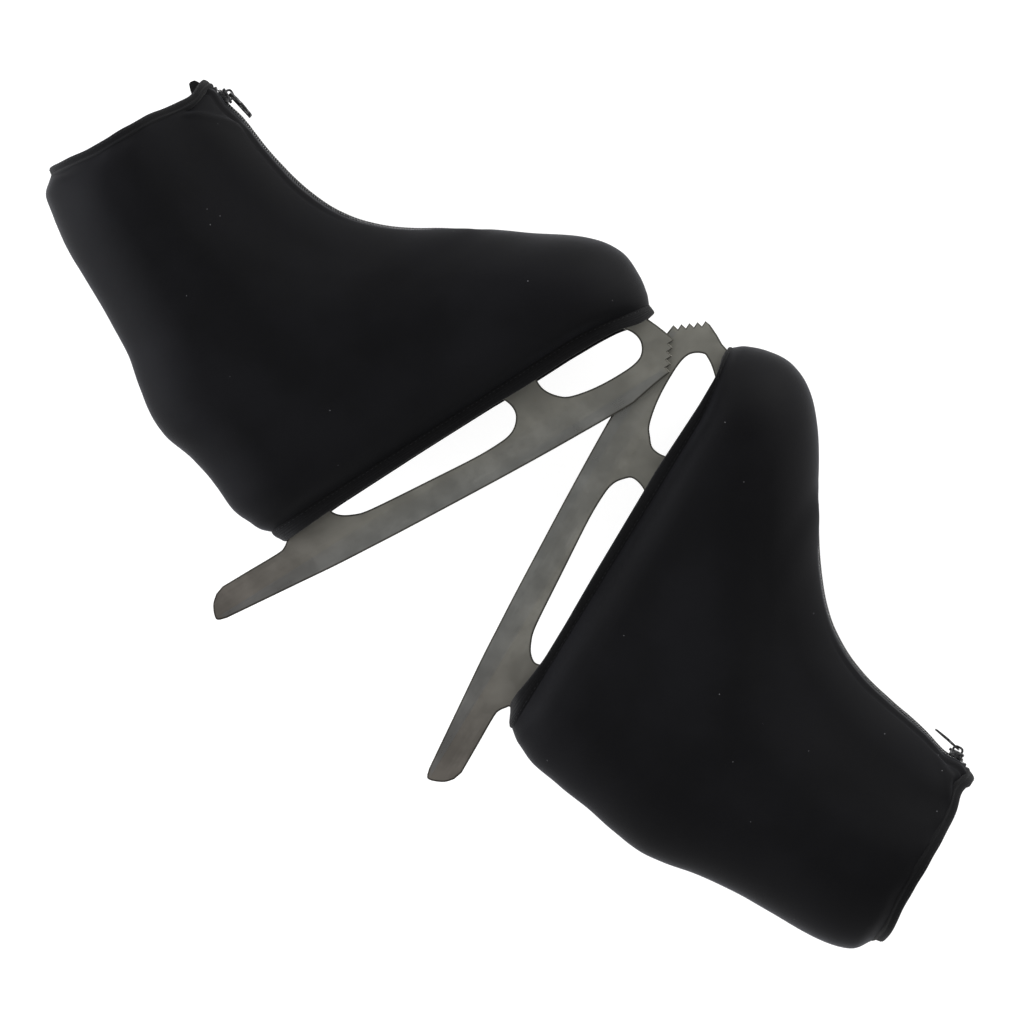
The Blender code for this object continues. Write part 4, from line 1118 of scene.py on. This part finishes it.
def blade_outline(rise):
    """The outline, and for each of its points whether it is on the ground edge."""
    def under(x):
        """A corner where a post meets its plate, a little below the sole."""
        return x, sole(x) - GAP - PLATE - 0.4

    teeth = []
    for i in range(PICK_TEETH):
        x, z = (start + step * i for start, step in zip(PICK_TIP, PICK_STEP))
        teeth += [(x, z), (x + PICK_NOTCH[0], z + PICK_NOTCH[1])]
    body = [*curve(TAIL), under(4), under(47), *curve([*HEEL_POST_FRONT, *RUNNER_TOP, *MIDDLE_POST_BACK]),
            under(134), under(173), *curve([*MIDDLE_POST_FRONT, *FRONT_BAY, *TOE_POST_BACK]), under(206),
            under(230.5), *TOE_POST_FRONT, *teeth[:-1]]
    ground, tail = curve(GROUND_EDGE), curve(TAIL_END)
    flags = [0] * len(body) + [1] * len(ground) + [0] * len(tail)
    lifted = [(x, z + rise * x * float(smooth(-z, 7, 16))) for x, z in (*body, *ground, *tail)]
    return np.array(lifted), np.array(flags)


def build_blade(skate):
    """Runner and posts in one plate, with a hollow ground into its running edge and a bright ground band beside it."""
    outline, flags = blade_outline(RISE[skate.name])
    count = len(outline)
    after = np.roll(outline, -1, axis=0)
    turn = unit(outline - np.roll(outline, 1, axis=0)) + unit(after - outline)
    normal = unit(np.stack([-turn[:, 1], turn[:, 0]], axis=1))
    if np.sum(outline[:, 0] * after[:, 1] - after[:, 0] * outline[:, 1]) < 0:
        normal = -normal
    half = BLADE_THICK / 2
    # (q, inset, share of the hollow, strength of the painted edge shade) across the thickness
    levels = ((-half, 1.35, 0, 0.0), (-half, 0.5, 0, 1.0), (-half + 0.2, 0.0, 0, 1.0), (-half * 0.5, 0, 0.75, 0.3),
              (0, 0, 1.0, 0.3), (half * 0.5, 0, 0.75, 0.3), (half - 0.2, 0.0, 0, 1.0), (half, 0.5, 0, 1.0),
              (half, 1.35, 0, 0.0))
    verts, rim = [], []
    for q, inset, hollow, dark in levels:
        ring = outline + normal * inset
        verts += [(x, q, z + lift) for (x, z), lift in zip(ring, flags * HOLLOW * hollow)]
        rim += [dark] * count
    faces = tube_faces(len(levels), count, caps=False)
    bright = [0.0] * len(verts)
    edge = np.flatnonzero(flags).tolist()
    for base in (0, (len(levels) - 1) * count):
        first = len(verts)
        for i in edge:
            x, q, z = verts[base + i]
            verts.append((x + normal[i, 0] * GROUND_BAND, q, z + normal[i, 1] * GROUND_BAND))
            bright[base + i] = 1.0
        rim += [0.0] * len(edge)
        bright += [1.0] * len(edge)
        faces += [(base + i, base + i + 1, first + k + 1, first + k) for k, i in enumerate(edge[:-1])]
        loop = [*range(base, base + edge[0] + 1), *range(first, len(verts)), *range(base + edge[-1], base + count)]
        flat = [Vector((verts[v][0], verts[v][2], 0)) for v in loop]
        faces += [tuple(loop[k] for k in triangle) for triangle in tessellate_polygon([flat])]
    coords = [(x, z, q) for x, q, z in verts]
    piece = add_piece(skate, "runner", "blade_steel", verts, faces, "blade", fabric=coords, sharp=28)
    # rim holds the painted shade along the outline's edges; ground marks the bright ground band
    for label, values in (("rim", rim), ("ground", bright)):
        piece.data.attributes.new(label, "FLOAT", "POINT").data.foreach_set("value", values)


def finish_cad_nodes(skate):
    """The rigid pieces whose CAD shape is right keep it, with softened edges and their own materials."""
    looks = [("boot_outsole", "boot_sole", 0.5), ("boot_heel", "boot_sole", 0.6), ("boot_insole", "insole_foam", 0.6)]
    for plate in ("toe", "heel"):
        looks.append((f"{plate}_plate", "plate_steel", 0.35))
        looks += [(f"{plate}_screw_{i}", "plate_steel", 0.2) for i in range(1, 5)]
    for node, material, width in looks:
        piece = frame["nodes"][f"{skate.name}_{node}"]
        piece.data.materials.clear()
        piece.data.materials.append(MATERIALS[material])
        soften(piece, width, 40)


# how each blade rises towards the toe, the twist of each pull in degrees and the outline of each tape's tail
RISE = {"right": 0.0, "left": 0.015}
TWIST = {"right": 16.0, "left": 0.0}
TAIL_OUTLINE = {
    "right": ((90.0, 225.5), (90.0, 229.5), (91.9, 234.6), (95.4, 234.2), (97.2, 231.0), (97.2, 225.5)),
    "left": ((95.2, 226.0), (95.2, 230.0), (97.8, 233.2), (101.0, 233.4), (102.2, 231.0), (101.6, 226.0)),
}
for each in (Skate("right", -1, 1.2, (1.0, 0.3, 0, 0, 0)), Skate("left", 1, -0.8, (-1.5, -0.5, 0.8, 2.8, 4.6))):
    for build in (build_panels, build_collar_hem, build_sole_hem, build_seams, build_tapes, build_tape_end,
                  build_coils, build_slider, build_stops, build_pull, build_boot, build_tongue, build_blade,
                  finish_cad_nodes):
        build(each)


# ---- floor, light and camera ----
def build_floor(size=30.0):
    mesh = bpy.data.meshes.new("floor")
    mesh.from_pydata([(-size, -size, 0), (size, -size, 0), (size, size, 0), (-size, size, 0)], [], [(0, 1, 2, 3)])
    mesh.materials.append(MATERIALS["floor_paper"])
    floor = bpy.data.objects.new("floor", mesh)
    bpy.context.scene.collection.objects.link(floor)
    floor.location.z = -0.0002


def build_sky():
    """A soft dome, brighter low down and on the far side; the camera sees plain pale grey instead."""
    world = bpy.data.worlds.new("studio")
    bpy.context.scene.world = world
    world.use_nodes = True
    w = Nodes(world.node_tree)
    axes = w.split(w.add("ShaderNodeTexCoord").outputs["Generated"])
    dome = w.times(w.ramp(axes["Z"], 0.55, 0.93, 2.0, 0.30), w.ramp(axes["Y"], -1.0, 1.0, 0.62, 1.22, "LINEAR"))
    skies = [w.feed(w.add("ShaderNodeBackground"), color=colour, strength=strength)
             for colour, strength in (((1, 1, 1), dome), ((0.93, 0.93, 0.93), 1.0))]
    camera_ray = w.add("ShaderNodeLightPath").outputs["Is Camera Ray"]
    pick = w.add("ShaderNodeMixShader")
    for target, value in zip(pick.inputs, (camera_ray, *skies)):
        w.put(target, value)
    w.put(w.add("ShaderNodeOutputWorld").inputs[0], pick.outputs[0])


def build_lamps():
    for name, place, aim, power, colour in (
            ("left_softbox", (-0.85, 0.02, 0.17), (-0.22, 0.10, 0.04), 7.5, (0.90, 0.92, 1.0)),
            ("far_softbox", (0.75, 0.80, 0.14), (0.15, 0.05, 0.04), 6.5, (1.0, 1.0, 1.0))):
        light = bpy.data.lights.new(name, "AREA")
        light.size = 0.5
        light.energy = power
        light.color = colour
        lamp = bpy.data.objects.new(name, light)
        lamp.location = place
        lamp.rotation_euler = (Vector(aim) - Vector(place)).to_track_quat("-Z", "Y").to_euler()
        bpy.context.scene.collection.objects.link(lamp)


def build_camera():
    """Straight down from far off, so that the picture has next to no perspective; wide is what it spans in metres."""
    lens, sensor, wide = 400.0, 36.0, 0.553
    camera = bpy.data.cameras.new("camera")
    camera.lens = lens
    camera.sensor_width = sensor
    camera.clip_end = 100
    eye = bpy.data.objects.new("camera", camera)
    bpy.context.scene.collection.objects.link(eye)
    middle = (Vector(CAD_BOX[0]) + Vector(CAD_BOX[1])) / 2
    eye.location = (middle.x + 0.0016, middle.y + 0.0007, middle.z + wide * lens / sensor)
    bpy.context.scene.camera = eye
    bpy.context.scene.view_settings.view_transform = "Standard"


build_floor()
build_sky()
build_lamps()
build_camera()
